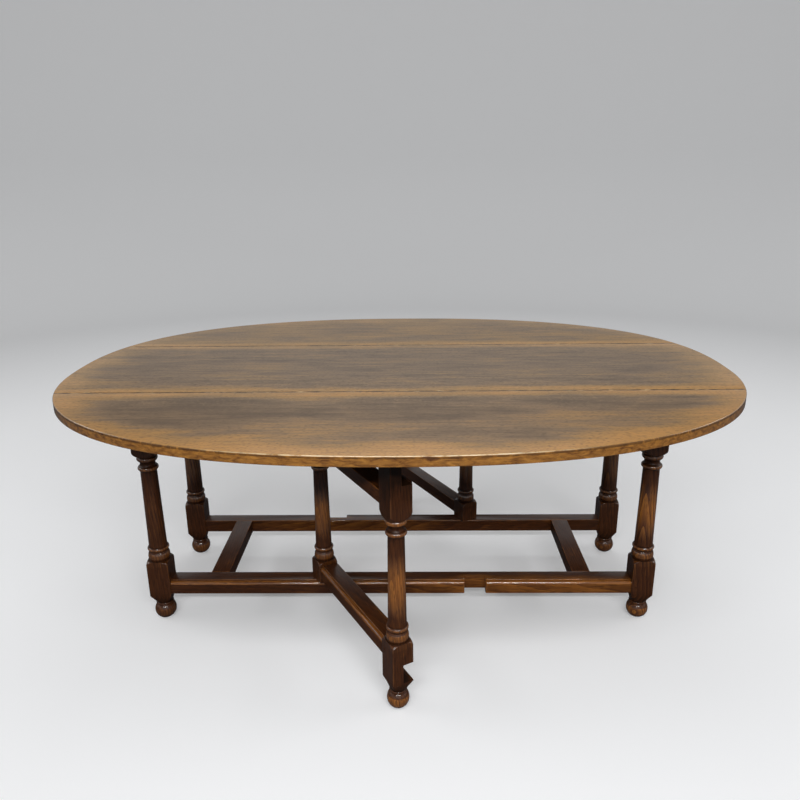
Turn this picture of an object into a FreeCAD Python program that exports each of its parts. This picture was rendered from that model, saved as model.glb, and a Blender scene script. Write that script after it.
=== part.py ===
"""Oval oak wake table: a long drop-leaf table on turned legs, with a gate to carry each leaf.

Millimetres. The origin is on the floor under the middle of the top, +X runs along the table,
+Z is up, and the front gate swings out towards -Y. Both leaves are up and both gates are open.
Turned half a circle about Z, the front half of the table is its rear half.
"""
import FreeCAD
import Part
import math
import os

V = FreeCAD.Vector
CENTRE = V(0, 0, 0)
UP = V(0, 0, 1)

# Top: an oval in three pieces, a fixed centre panel and two leaves
TOP_HEIGHT = 760.0
TOP_LENGTH = 1990.0
TOP_WIDTH = 1470.0
TOP_THICKNESS = 27.0
PANEL_WIDTH = 540.0          # from seam to seam
OVAL_FULLNESS = 2.34         # 2 is an ellipse, more is squarer
OVAL_POINTS = 48
TOP_ARRIS = 3.5
UNDER_ARRIS = 2.0

# Rule joint: the panel's edge is an ovolo, the leaf's is the cove that turns round it
RULE_STEP = 4.0              # square step at the head of the ovolo
HINGE_RISE = 4.5             # hinge axis above the underside
SEAM_GAP = 1.2
COVE_CLEARANCE = 0.8

# Back-flap hinges let in flush under each seam
HINGE_PLACES = (-560.0, 0.0, 560.0)
HINGE_LENGTH = 76.0
FLAP_THICKNESS = 2.5
PANEL_FLAP_WIDTH = 38.0
LEAF_FLAP_WIDTH = 66.0
KNUCKLE_RADIUS = 4.0
HINGE_PIN_RADIUS = 2.0
HINGE_PIN_FIT = 0.05
KNUCKLE_GAP = 0.4
HINGE_RECESS_GAP = 0.3
FLAP_SWING_GAP = 1.2         # room in the ovolo for the leaf flap to rise with the leaf

# Fixed frame
END_OVERHANG = 252.5         # of the top, past the leg axes
FRAME_INSET = 70.0           # of the leg axes, in from the seams
LEG_STOCK = 66.0
BLOCK_ARRIS = 2.5            # softened corners of the square blocks
APRON_HEIGHT = 88.0
APRON_THICKNESS = 44.0
STRETCHER_WIDTH = 56.0
STRETCHER_HEIGHT = 43.0
STRETCHER_TOP = 136.0
CROSS_STRETCHER_INSET = 175.5    # from the leg axes
RAIL_ARRIS = 1.5
BEAD_RADIUS = 10.0           # quarter round along the outer top edge of a stretcher or gate rail
BEAD_STEP = 3.0

# Mortise and tenon joints, pegged through
TENON_LENGTH = 24.0
TENON_THICKNESS = 16.0
TENON_SHOULDER = 7.0
TENON_FIT = 0.1
MORTISE_END_GAP = 0.5
PEG_RADIUS = 4.5
PEG_LENGTH = 45.0
PEG_PROUD = 0.6
PEG_FIT = 0.05
APRON_PEG_SPACING = 34.0

# Gates: pivot post, gate leg and two rails, each swinging on round pins of the post
PIVOT_OFFSET = 232.0         # pivot from the middle of the table, so a closed gate is centred
GATE_OPEN_ANGLE = 60.0
GATE_STOCK = 60.0
GATE_RAIL_WIDTH = 56.0
LOWER_RAIL_HEIGHT = 43.0
UPPER_RAIL_HEIGHT = 36.0
LOWER_RAIL_RISE = 14.0       # above the stretcher
PIVOT_PIN_RADIUS = 11.0
PIVOT_PIN_LENGTH = 30.0
PIVOT_PIN_FIT = 0.4
PIVOT_HOLE_END_GAP = 2.0
GATE_GAP = 0.3               # post on stretcher, post under apron, gate leg under leaf
LAP_GAP = 3.0                # behind the halved gate leg in the halved stretcher and apron
LAP_LEVEL_GAP = 6.0          # above and below them
LAP_SIDE_GAP = 2.5
LAP_MOUTH_RADIUS = 6.0

# Turned legs: heights of the lower members from the floor, of the upper ones from the upper block
FOOT_HEIGHT = 48.0
FOOT_WIDEST = 26.5           # level of the roundest part
ANKLE_HEIGHT = 8.0
LOWER_BLOCK_SLOPE = 1.35     # rise over run of the cone under the block
LOWER_BLOCK_TOP = 187.0
LOWER_BLOCK_CROWN = 19.0
BASE_HEIGHT = 27.0
LOWER_RING_FLOOR = 237.0
LOWER_RING_HEIGHT = 12.0
UPPER_BLOCK_LENGTH = 156.0
CUP_HEIGHT = 31.0
COLLAR_HEIGHT = 15.0
NECK_HEIGHT = 16.0
UPPER_RING_HEIGHT = 13.0
COVE_HEIGHT = 4.0

# How far each turned member lies inside the face of the square stock
FOOT_PAD_DEPTH = 17.0
FOOT_DEPTH = 0.5
ANKLE_DEPTH = 9.0
ANKLE_BEAD = 2.5
BASE_DEPTH = 0.6
BASE_FOOT_DEPTH = 3.0
BASE_HEAD_DEPTH = 5.5
LOWER_RING_DEPTH = 1.0
COLUMN_FOOT_DEPTH = 6.0
COLUMN_HEAD_DEPTH = 9.0
UPPER_RING_DEPTH = 3.0
NECK_DEPTH = 11.0
COLLAR_DEPTH = 2.8
RING_ROOT = 4.0              # from the roundest part of a ring or collar in to its root

# Rubbed blocks that hold the panel to the frame, and stops under the leaves
BLOCK_SIDE = 30.0
BLOCK_LENGTH = 90.0
SIDE_BLOCK_SPACING = 450.0
STOP_HEIGHT = 14.0
STOP_WIDTH = 22.0
STOP_LENGTH = 64.0
STOP_GAP = 0.5

# Levels and faces that follow from the sizes above
UNDERSIDE = TOP_HEIGHT - TOP_THICKNESS
SEAM_Y = PANEL_WIDTH / 2
HINGE_Z = UNDERSIDE + HINGE_RISE
OVOLO_RADIUS = TOP_HEIGHT - RULE_STEP - HINGE_Z
COVE_RADIUS = OVOLO_RADIUS + COVE_CLEARANCE
LEG_X = TOP_LENGTH / 2 - END_OVERHANG
LEG_Y = SEAM_Y - FRAME_INSET
LEG_HALF = LEG_STOCK / 2
GATE_HALF = GATE_STOCK / 2
LEG_INNER_X = LEG_X - LEG_HALF
LEG_INNER_Y = LEG_Y - LEG_HALF
CROSS_X = LEG_X - CROSS_STRETCHER_INSET
APRON_BOTTOM = UNDERSIDE - APRON_HEIGHT
STRETCHER_BOTTOM = STRETCHER_TOP - STRETCHER_HEIGHT
UPPER_BLOCK_BOTTOM = UNDERSIDE - UPPER_BLOCK_LENGTH
LOWER_RAIL_BOTTOM = STRETCHER_TOP + LOWER_RAIL_RISE
PIVOT = V(-PIVOT_OFFSET, -LEG_Y, 0)
GATE_LEG_AXIS = V(PIVOT_OFFSET, -LEG_Y, 0)


def box(x0, x1, y0, y1, z0, z1):
    """Box between two corners, in any order."""
    low = V(min(x0, x1), min(y0, y1), min(z0, z1))
    return Part.makeBox(abs(x1 - x0), abs(y1 - y0), abs(z1 - z0), low)


def turned(shape, degrees, axis_point=CENTRE):
    """Copy of a shape, turned about a vertical axis."""
    copy = shape.copy()
    copy.rotate(axis_point, UP, degrees)
    return copy


def opposite(shape):
    """The same piece on the other half of the table."""
    return turned(shape, 180.0)


def along_x(points_and_arcs, x0, x1):
    """Prism along X on a closed section in Y and Z, with edges from the given builders."""
    wire = Part.Wire(points_and_arcs)
    wire.translate(V(x0, 0, 0))
    return Part.Face(wire).extrude(V(x1 - x0, 0, 0))


def line(a, b):
    return Part.LineSegment(a, b).toShape()


def arc(a, b, c):
    return Part.Arc(a, b, c).toShape()


def section_point(y, z):
    return V(0, y, z)


# Top

def oval_slab():
    """The whole oval top as one slab with softened edges, before it is parted at the seams."""
    half_x = TOP_LENGTH / 2
    half_y = TOP_WIDTH / 2
    points = []
    for i in range(OVAL_POINTS):
        angle = 2 * math.pi * i / OVAL_POINTS
        c = math.cos(angle)
        s = math.sin(angle)
        reach = (abs(c / half_x) ** OVAL_FULLNESS + abs(s / half_y) ** OVAL_FULLNESS) ** (-1 / OVAL_FULLNESS)
        points.append(V(reach * c, reach * s, UNDERSIDE))
    outline = Part.BSplineCurve()
    outline.interpolate(Points=points, PeriodicFlag=True)
    slab = Part.Face(Part.Wire(outline.toShape())).extrude(V(0, 0, TOP_THICKNESS))
    middle = UNDERSIDE + TOP_THICKNESS / 2
    rims = [e for e in slab.Edges if e.BoundBox.ZLength < TOP_THICKNESS / 2]
    upper = [e for e in rims if e.BoundBox.ZMin > middle]
    lower = [e for e in rims if e.BoundBox.ZMax < middle]
    return slab.makeFillet(TOP_ARRIS, upper).makeFillet(UNDER_ARRIS, lower)


def panel_section_prism():
    """Section of the centre panel with an ovolo along both sides, run past the ends of the oval."""
    slope = OVOLO_RADIUS * math.sqrt(0.5)
    foot = SEAM_Y + OVOLO_RADIUS
    head = TOP_HEIGHT - RULE_STEP

    def p(y, z):
        return section_point(y, z)

    edges = [line(p(-SEAM_Y, TOP_HEIGHT), p(-SEAM_Y, head)),
             arc(p(-SEAM_Y, head), p(-SEAM_Y - slope, HINGE_Z + slope), p(-foot, HINGE_Z)),
             line(p(-foot, HINGE_Z), p(-foot, UNDERSIDE)),
             line(p(-foot, UNDERSIDE), p(foot, UNDERSIDE)),
             line(p(foot, UNDERSIDE), p(foot, HINGE_Z)),
             arc(p(foot, HINGE_Z), p(SEAM_Y + slope, HINGE_Z + slope), p(SEAM_Y, head)),
             line(p(SEAM_Y, head), p(SEAM_Y, TOP_HEIGHT)),
             line(p(SEAM_Y, TOP_HEIGHT), p(-SEAM_Y, TOP_HEIGHT))]
    return along_x(edges, -TOP_LENGTH, TOP_LENGTH)


def leaf_section_prism():
    """Section of the front leaf with its cove, run past the edge of the oval."""
    slope = COVE_RADIUS * math.sqrt(0.5)
    lip_y = SEAM_Y + SEAM_GAP
    lip_z = HINGE_Z + math.sqrt(COVE_RADIUS ** 2 - SEAM_GAP ** 2)
    foot = SEAM_Y + COVE_RADIUS

    def p(y, z):
        return section_point(y, z)

    edges = [line(p(-lip_y, TOP_HEIGHT), p(-lip_y, lip_z)),
             arc(p(-lip_y, lip_z), p(-SEAM_Y - slope, HINGE_Z + slope), p(-foot, HINGE_Z)),
             line(p(-foot, HINGE_Z), p(-foot, UNDERSIDE)),
             line(p(-foot, UNDERSIDE), p(-TOP_WIDTH, UNDERSIDE)),
             line(p(-TOP_WIDTH, UNDERSIDE), p(-TOP_WIDTH, TOP_HEIGHT)),
             line(p(-TOP_WIDTH, TOP_HEIGHT), p(-lip_y, TOP_HEIGHT))]
    return along_x(edges, -TOP_LENGTH, TOP_LENGTH)


def panel_hinge_recesses():
    """Sinkings in the panel for the front hinges: flap, knuckle, and the leaf flap's way past the ovolo."""
    half = HINGE_LENGTH / 2 + HINGE_RECESS_GAP
    knuckle = KNUCKLE_RADIUS + HINGE_RECESS_GAP
    flap_top = UNDERSIDE + FLAP_THICKNESS
    cuts = []
    for x in HINGE_PLACES:
        cuts.append(box(x - half, x + half, -SEAM_Y, -SEAM_Y + PANEL_FLAP_WIDTH + HINGE_RECESS_GAP,
                        UNDERSIDE, flap_top))
        cuts.append(box(x - half, x + half, -SEAM_Y - knuckle, -SEAM_Y + knuckle,
                        UNDERSIDE, HINGE_Z + knuckle))
        cuts.append(box(x - half, x + half, -SEAM_Y - OVOLO_RADIUS, -SEAM_Y,
                        UNDERSIDE, flap_top + FLAP_SWING_GAP))
    return cuts


def centre_panel(slab):
    panel = slab.common(panel_section_prism())
    front = panel_hinge_recesses()
    return panel.cut(front + [opposite(c) for c in front])


def front_leaf(slab):
    leaf = slab.common(leaf_section_prism())
    half = HINGE_LENGTH / 2 + HINGE_RECESS_GAP
    far = SEAM_Y + LEAF_FLAP_WIDTH + HINGE_RECESS_GAP
    cuts = [box(x - half, x + half, -SEAM_Y, -far, UNDERSIDE, UNDERSIDE + FLAP_THICKNESS)
            for x in HINGE_PLACES]
    return leaf.cut(cuts)


# Hinges

def knuckle(x0, x1):
    """Barrel of one knuckle along X on the front hinge axis."""
    return Part.makeCylinder(KNUCKLE_RADIUS, x1 - x0, V(x0, -SEAM_Y, HINGE_Z), V(1, 0, 0))


def pin_hole(x):
    radius = HINGE_PIN_RADIUS + HINGE_PIN_FIT
    start = x - HINGE_LENGTH
    return Part.makeCylinder(radius, 2 * HINGE_LENGTH, V(start, -SEAM_Y, HINGE_Z), V(1, 0, 0))


def panel_flap(x):
    """Flap on the panel, with the middle knuckle."""
    half = HINGE_LENGTH / 2
    third = HINGE_LENGTH / 6 - KNUCKLE_GAP / 2
    clear = KNUCKLE_RADIUS + KNUCKLE_GAP
    top = UNDERSIDE + FLAP_THICKNESS
    plate = box(x - half, x + half, -SEAM_Y + clear, -SEAM_Y + PANEL_FLAP_WIDTH, UNDERSIDE, top)
    root = box(x - third, x + third, -SEAM_Y, -SEAM_Y + clear, UNDERSIDE, top)
    return plate.fuse([root, knuckle(x - third, x + third)]).cut(pin_hole(x)).removeSplitter()


def leaf_flap(x):
    """Longer flap on the leaf, with the two outer knuckles."""
    half = HINGE_LENGTH / 2
    third = HINGE_LENGTH / 6 + KNUCKLE_GAP / 2
    clear = KNUCKLE_RADIUS + KNUCKLE_GAP
    top = UNDERSIDE + FLAP_THICKNESS
    flap = box(x - half, x + half, -SEAM_Y - clear, -SEAM_Y - LEAF_FLAP_WIDTH, UNDERSIDE, top)
    for x0, x1 in ((x - half, x - third), (x + third, x + half)):
        root = box(x0, x1, -SEAM_Y - clear, -SEAM_Y, UNDERSIDE, top)
        flap = flap.fuse([root, knuckle(x0, x1)])
    return flap.cut(pin_hole(x)).removeSplitter()


def hinge_pin(x):
    start = V(x - HINGE_LENGTH / 2, -SEAM_Y, HINGE_Z)
    return Part.makeCylinder(HINGE_PIN_RADIUS, HINGE_LENGTH, start, V(1, 0, 0))


# Turned work

def square_stock(stock, top):
    """Squared timber on the Z axis with softened corners."""
    half = stock / 2
    timber = box(-half, half, -half, half, 0, top)
    corners = [e for e in timber.Edges if e.BoundBox.ZLength > stock]
    return timber.makeFillet(BLOCK_ARRIS, corners)


def turning(stock, top):
    """Turned leg on the Z axis: square blocks are left where the turning runs outside the stock."""
    half = stock / 2
    corner = half * math.sqrt(2)
    outside = stock
    ankle_r = half - ANKLE_DEPTH
    ankle_z = FOOT_HEIGHT + ANKLE_HEIGHT
    cone_z = ankle_z + LOWER_BLOCK_SLOPE * (outside - ankle_r)
    crown_r = half - BASE_FOOT_DEPTH
    crown_z = LOWER_BLOCK_TOP + LOWER_BLOCK_CROWN
    base_r = half - BASE_HEAD_DEPTH
    base_top = crown_z + BASE_HEIGHT
    ring_r = half - LOWER_RING_DEPTH
    ring_low = LOWER_RING_FLOOR
    ring_high = ring_low + LOWER_RING_HEIGHT
    cup_low = UPPER_BLOCK_BOTTOM - CUP_HEIGHT
    collar_r = half - COLLAR_DEPTH
    collar_low = cup_low - COLLAR_HEIGHT
    neck_low = collar_low - NECK_HEIGHT
    upper_r = half - UPPER_RING_DEPTH
    upper_low = neck_low - UPPER_RING_HEIGHT
    column_foot = (half - COLUMN_FOOT_DEPTH, ring_high + COVE_HEIGHT)
    column_head = (half - COLUMN_HEAD_DEPTH, upper_low - COVE_HEIGHT)

    def p(r, z):
        return V(r, 0, z)

    def swell(root, crest, z0, z1):
        """Bead between two levels."""
        return arc(p(root, z0), p(crest, (z0 + z1) / 2), p(root, z1))

    def shoulder(corner_z, r, z):
        """Points of a round that falls from the corner of a block to a turned member."""
        bend = math.sqrt(0.5)
        middle = p(r + (corner - r) * bend, corner_z + (z - corner_z) * bend)
        return p(corner, corner_z), middle, p(r, z)

    edges = [line(p(0, 0), p(half - FOOT_PAD_DEPTH, 0)),
             arc(p(half - FOOT_PAD_DEPTH, 0), p(half - FOOT_DEPTH, FOOT_WIDEST), p(ankle_r, FOOT_HEIGHT)),
             swell(ankle_r, ankle_r + ANKLE_BEAD, FOOT_HEIGHT, ankle_z),
             line(p(ankle_r, ankle_z), p(outside, cone_z)),
             line(p(outside, cone_z), p(outside, LOWER_BLOCK_TOP)),
             line(p(outside, LOWER_BLOCK_TOP), p(corner, LOWER_BLOCK_TOP)),
             arc(*shoulder(LOWER_BLOCK_TOP, crown_r, crown_z)),
             arc(p(crown_r, crown_z), p(half - BASE_DEPTH, crown_z + BASE_HEIGHT / 3), p(base_r, base_top)),
             line(p(base_r, base_top), p(base_r, ring_low)),
             line(p(base_r, ring_low), p(ring_r - RING_ROOT, ring_low)),
             swell(ring_r - RING_ROOT, ring_r, ring_low, ring_high),
             line(p(ring_r - RING_ROOT, ring_high), p(*column_foot)),
             line(p(*column_foot), p(*column_head)),
             line(p(*column_head), p(upper_r - RING_ROOT, upper_low)),
             swell(upper_r - RING_ROOT, upper_r, upper_low, neck_low),
             arc(p(upper_r - RING_ROOT, neck_low), p(half - NECK_DEPTH, (neck_low + collar_low) / 2),
                 p(collar_r - RING_ROOT, collar_low)),
             swell(collar_r - RING_ROOT, collar_r, collar_low, cup_low),
             arc(*reversed(shoulder(UPPER_BLOCK_BOTTOM, collar_r - RING_ROOT, cup_low))),
             line(p(corner, UPPER_BLOCK_BOTTOM), p(outside, UPPER_BLOCK_BOTTOM)),
             line(p(outside, UPPER_BLOCK_BOTTOM), p(outside, top)),
             line(p(outside, top), p(0, top)),
             line(p(0, top), p(0, 0))]
    round_work = Part.Face(Part.Wire(edges)).revolve(CENTRE, UP, 360)
    return round_work.common(square_stock(stock, top))


# Mortises, tenons and pegs

def tenon_x(shoulder_x, sign, y, z0, z1, fit=0.0):
    """Tenon that runs along X from a shoulder, or its mortise when a fit is given."""
    length = TENON_LENGTH + (MORTISE_END_GAP if fit else 0.0)
    half = TENON_THICKNESS / 2 + fit
    return box(shoulder_x, shoulder_x + sign * length, y - half, y + half,
               z0 + TENON_SHOULDER - fit, z1 - TENON_SHOULDER + fit)


def tenon_y(x, shoulder_y, sign, z0, z1, fit=0.0):
    """Tenon that runs along Y from a shoulder, or its mortise when a fit is given."""
    length = TENON_LENGTH + (MORTISE_END_GAP if fit else 0.0)
    half = TENON_THICKNESS / 2 + fit
    return box(x - half, x + half, shoulder_y, shoulder_y + sign * length,
               z0 + TENON_SHOULDER - fit, z1 - TENON_SHOULDER + fit)


def peg(start, direction, length, fit=0.0):
    return Part.makeCylinder(PEG_RADIUS + fit, length, start, direction)


def apron_peg_levels():
    middle = APRON_BOTTOM + APRON_HEIGHT / 2
    return (middle - APRON_PEG_SPACING / 2, middle + APRON_PEG_SPACING / 2)


def side_pegs(sx, fit=0.0):
    """Pegs of the front apron and stretcher in the front leg on side sx, driven from the front."""
    x = sx * (LEG_INNER_X + TENON_LENGTH / 2)
    y = -(LEG_Y + LEG_HALF) - PEG_PROUD
    levels = apron_peg_levels() + ((STRETCHER_TOP + STRETCHER_BOTTOM) / 2,)
    return [peg(V(x, y, z), V(0, 1, 0), PEG_LENGTH, fit) for z in levels]


def end_pegs(sx, fit=0.0):
    """Pegs of the end apron in the front leg on side sx, driven from the end."""
    x = sx * (LEG_X + LEG_HALF + PEG_PROUD)
    y = -(LEG_INNER_Y + TENON_LENGTH / 2)
    return [peg(V(x, y, z), V(-sx, 0, 0), PEG_LENGTH, fit) for z in apron_peg_levels()]


# Fixed frame

def front_corner_leg(sx):
    leg = turning(LEG_STOCK, UNDERSIDE)
    leg.translate(V(sx * LEG_X, -LEG_Y, 0))
    cuts = [tenon_x(sx * LEG_INNER_X, sx, -LEG_Y, APRON_BOTTOM, UNDERSIDE, TENON_FIT),
            tenon_x(sx * LEG_INNER_X, sx, -LEG_Y, STRETCHER_BOTTOM, STRETCHER_TOP, TENON_FIT),
            tenon_y(sx * LEG_X, -LEG_INNER_Y, -1, APRON_BOTTOM, UNDERSIDE, TENON_FIT)]
    return leg.cut(cuts + side_pegs(sx, PEG_FIT) + end_pegs(sx, PEG_FIT))


def lap_notch(outer_y, z0, z1):
    """Notch for the halved gate leg in the front face of an apron or stretcher, with a rounded mouth."""
    x = PIVOT_OFFSET
    half = GATE_HALF + LAP_SIDE_GAP
    mouth = half + LAP_MOUTH_RADIUS
    back = -LEG_Y + LAP_GAP
    turn_y = outer_y + LAP_MOUTH_RADIUS
    sag = LAP_MOUTH_RADIUS * (1 - math.sqrt(0.5))

    def p(dx, y):
        return V(x + dx, y, z0)

    edges = [line(p(-mouth, outer_y), p(mouth, outer_y)),
             arc(p(mouth, outer_y), p(half + sag, outer_y + sag), p(half, turn_y)),
             line(p(half, turn_y), p(half, back)),
             line(p(half, back), p(-half, back)),
             line(p(-half, back), p(-half, turn_y)),
             arc(p(-half, turn_y), p(-half - sag, outer_y + sag), p(-mouth, outer_y))]
    return Part.Face(Part.Wire(edges)).extrude(V(0, 0, z1 - z0))


def pivot_hole(z, direction):
    """Hole for a pin of the front pivot post, from a level into the wood."""
    depth = PIVOT_PIN_LENGTH + PIVOT_HOLE_END_GAP
    return Part.makeCylinder(PIVOT_PIN_RADIUS + PIVOT_PIN_FIT, depth, PIVOT + V(0, 0, z), V(0, 0, direction))


def front_apron():
    outer = -LEG_Y - APRON_THICKNESS / 2
    apron = box(-LEG_INNER_X, LEG_INNER_X, outer, outer + APRON_THICKNESS, APRON_BOTTOM, UNDERSIDE)
    tenons = [tenon_x(sx * LEG_INNER_X, sx, -LEG_Y, APRON_BOTTOM, UNDERSIDE) for sx in (-1, 1)]
    apron = apron.fuse(tenons)
    cuts = [lap_notch(outer, APRON_BOTTOM, UNDERSIDE), pivot_hole(APRON_BOTTOM, 1)]
    return apron.cut(cuts + side_pegs(-1, PEG_FIT) + side_pegs(1, PEG_FIT)).removeSplitter()


def left_apron():
    x = -LEG_X
    half = APRON_THICKNESS / 2
    apron = box(x - half, x + half, -LEG_INNER_Y, LEG_INNER_Y, APRON_BOTTOM, UNDERSIDE)
    tenons = [tenon_y(x, sy * LEG_INNER_Y, sy, APRON_BOTTOM, UNDERSIDE) for sy in (-1, 1)]
    rear_pegs = [opposite(p) for p in end_pegs(1, PEG_FIT)]
    return apron.fuse(tenons).cut(end_pegs(-1, PEG_FIT) + rear_pegs).removeSplitter()


def eased(rail, along, levels):
    """Rail with softened arrises on its long edges at the given levels."""
    arrises = []
    for edge in rail.Edges:
        ends = edge.BoundBox
        lengthwise = abs(edge.tangentAt(edge.FirstParameter).dot(along)) > 0.999
        if lengthwise and any(abs(ends.ZMin - level) < 0.01 and abs(ends.ZMax - level) < 0.01 for level in levels):
            arrises.append(edge)
    return rail.makeFillet(RAIL_ARRIS, arrises)


def beaded_rail(x0, x1, y, width, bottom, height):
    """Rail along X with a quarter round, set down by a step, on its front top edge."""
    front = y - width / 2
    back = y + width / 2
    top = bottom + height
    shelf = top - BEAD_STEP
    quirk = front + BEAD_RADIUS
    sag = BEAD_RADIUS * (1 - math.sqrt(0.5))

    def p(py, pz):
        return section_point(py, pz)

    edges = [line(p(back, bottom), p(front, bottom)),
             line(p(front, bottom), p(front, shelf - BEAD_RADIUS)),
             arc(p(front, shelf - BEAD_RADIUS), p(front + sag, shelf - sag), p(quirk, shelf)),
             line(p(quirk, shelf), p(quirk, top)),
             line(p(quirk, top), p(back, top)),
             line(p(back, top), p(back, bottom))]
    return eased(along_x(edges, x0, x1), V(1, 0, 0), (bottom, top))


def front_stretcher():
    outer = -LEG_Y - STRETCHER_WIDTH / 2
    inner = -LEG_Y + STRETCHER_WIDTH / 2
    rail = beaded_rail(-LEG_INNER_X, LEG_INNER_X, -LEG_Y, STRETCHER_WIDTH, STRETCHER_BOTTOM, STRETCHER_HEIGHT)
    tenons = [tenon_x(sx * LEG_INNER_X, sx, -LEG_Y, STRETCHER_BOTTOM, STRETCHER_TOP) for sx in (-1, 1)]
    rail = rail.fuse(tenons)
    cuts = [tenon_y(sx * CROSS_X, inner, -1, STRETCHER_BOTTOM, STRETCHER_TOP, TENON_FIT) for sx in (-1, 1)]
    cuts += [lap_notch(outer, STRETCHER_BOTTOM, STRETCHER_TOP), pivot_hole(STRETCHER_TOP, -1)]
    return rail.cut(cuts + side_pegs(-1, PEG_FIT) + side_pegs(1, PEG_FIT)).removeSplitter()


def left_cross_stretcher():
    x = -CROSS_X
    reach = LEG_Y - STRETCHER_WIDTH / 2
    half = STRETCHER_WIDTH / 2
    rail = box(x - half, x + half, -reach, reach, STRETCHER_BOTTOM, STRETCHER_TOP)
    rail = eased(rail, V(0, 1, 0), (STRETCHER_BOTTOM, STRETCHER_TOP))
    tenons = [tenon_y(x, sy * reach, sy, STRETCHER_BOTTOM, STRETCHER_TOP) for sy in (-1, 1)]
    return rail.fuse(tenons).removeSplitter()


def glue_blocks():
    """Blocks rubbed into the corner between the aprons and the panel."""
    inner_y = LEG_Y - APRON_THICKNESS / 2
    inner_x = LEG_X - APRON_THICKNESS / 2
    half = BLOCK_LENGTH / 2
    low = UNDERSIDE - BLOCK_SIDE
    front = [box(x - half, x + half, -inner_y, -inner_y + BLOCK_SIDE, low, UNDERSIDE)
             for x in (-SIDE_BLOCK_SPACING, 0.0, SIDE_BLOCK_SPACING)]
    left = box(-inner_x, -inner_x + BLOCK_SIDE, -half, half, low, UNDERSIDE)
    return front + [left] + [opposite(b) for b in front + [left]]


# Front gate, made closed along the front of the frame and then swung open

def gate_rail_span():
    return (PIVOT.x + GATE_HALF, GATE_LEG_AXIS.x - GATE_HALF)


def gate_rails():
    """Bottom and top level of the lower and the upper rail of the gate."""
    return ((LOWER_RAIL_BOTTOM, LOWER_RAIL_BOTTOM + LOWER_RAIL_HEIGHT),
            (UPPER_BLOCK_BOTTOM, UPPER_BLOCK_BOTTOM + UPPER_RAIL_HEIGHT))


def gate_pegs(fit=0.0):
    """Pegs through both posts of the gate, one for each end of each rail."""
    x0, x1 = gate_rail_span()
    y = -LEG_Y - GATE_HALF - PEG_PROUD
    pegs = []
    for bottom, top in gate_rails():
        z = (bottom + top) / 2
        for x in (x0 - TENON_LENGTH / 2, x1 + TENON_LENGTH / 2):
            pegs.append(peg(V(x, y, z), V(0, 1, 0), PEG_LENGTH, fit))
    return pegs


def gate_mortises():
    x0, x1 = gate_rail_span()
    cuts = []
    for bottom, top in gate_rails():
        cuts.append(tenon_x(x0, -1, -LEG_Y, bottom, top, TENON_FIT))
        cuts.append(tenon_x(x1, 1, -LEG_Y, bottom, top, TENON_FIT))
    return cuts


def pivot_post():
    low = STRETCHER_TOP + GATE_GAP
    high = APRON_BOTTOM - GATE_GAP
    post = turning(GATE_STOCK, UNDERSIDE).common(
        box(-GATE_HALF, GATE_HALF, -GATE_HALF, GATE_HALF, low, high))
    pins = [Part.makeCylinder(PIVOT_PIN_RADIUS, PIVOT_PIN_LENGTH, V(0, 0, z), V(0, 0, way))
            for z, way in ((low, -1), (high, 1))]
    post = post.fuse(pins)
    post.translate(PIVOT)
    return post.cut(gate_mortises() + gate_pegs(PEG_FIT)).removeSplitter()


def gate_leg():
    top = UNDERSIDE - GATE_GAP
    leg = turning(GATE_STOCK, top)
    leg.translate(GATE_LEG_AXIS)
    x0 = GATE_LEG_AXIS.x - GATE_STOCK
    x1 = GATE_LEG_AXIS.x + GATE_STOCK
    back = -LEG_Y + GATE_STOCK
    apron_lap = box(x0, x1, -LEG_Y, back, APRON_BOTTOM - LAP_LEVEL_GAP, top)
    stretcher_lap = box(x0, x1, -LEG_Y, back, STRETCHER_BOTTOM - LAP_LEVEL_GAP, STRETCHER_TOP + LAP_LEVEL_GAP)
    return leg.cut([apron_lap, stretcher_lap] + gate_mortises() + gate_pegs(PEG_FIT))


def gate_rail(bottom, top, beaded):
    x0, x1 = gate_rail_span()
    if beaded:
        rail = beaded_rail(x0, x1, -LEG_Y, GATE_RAIL_WIDTH, bottom, top - bottom)
    else:
        half = GATE_RAIL_WIDTH / 2
        rail = box(x0, x1, -LEG_Y - half, -LEG_Y + half, bottom, top)
        rail = eased(rail, V(1, 0, 0), (bottom, top))
    tenons = [tenon_x(x0, -1, -LEG_Y, bottom, top), tenon_x(x1, 1, -LEG_Y, bottom, top)]
    return rail.fuse(tenons).cut(gate_pegs(PEG_FIT)).removeSplitter()


def leaf_stop():
    """Stop under the leaf, which the gate leg meets when the gate is fully open."""
    x = GATE_LEG_AXIS.x
    y = -LEG_Y - GATE_HALF - STOP_GAP
    half = STOP_LENGTH / 2
    return box(x - half, x + half, y - STOP_WIDTH, y, UNDERSIDE - STOP_HEIGHT, UNDERSIDE)


def swung_open(shape):
    return turned(shape, -GATE_OPEN_ANGLE, PIVOT)


# Assembly: the front pieces, and for each the same piece on the other half of the table

slab = oval_slab()
nodes = {"top_centre_panel": centre_panel(slab), "top_glue_blocks": Part.makeCompound(glue_blocks())}


def add_pair(front_name, rear_name, shape):
    nodes[front_name] = shape
    nodes[rear_name] = opposite(shape)


add_pair("front_leaf", "rear_leaf", front_leaf(slab))
add_pair("front_left_leg", "rear_right_leg", front_corner_leg(-1))
add_pair("front_right_leg", "rear_left_leg", front_corner_leg(1))
add_pair("front_apron", "rear_apron", front_apron())
add_pair("left_apron", "right_apron", left_apron())
add_pair("front_stretcher", "rear_stretcher", front_stretcher())
add_pair("left_cross_stretcher", "right_cross_stretcher", left_cross_stretcher())

corner_pegs = [p for sx in (-1, 1) for p in side_pegs(sx) + end_pegs(sx)]
nodes["frame_pegs"] = Part.makeCompound(corner_pegs + [opposite(p) for p in corner_pegs])

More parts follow.
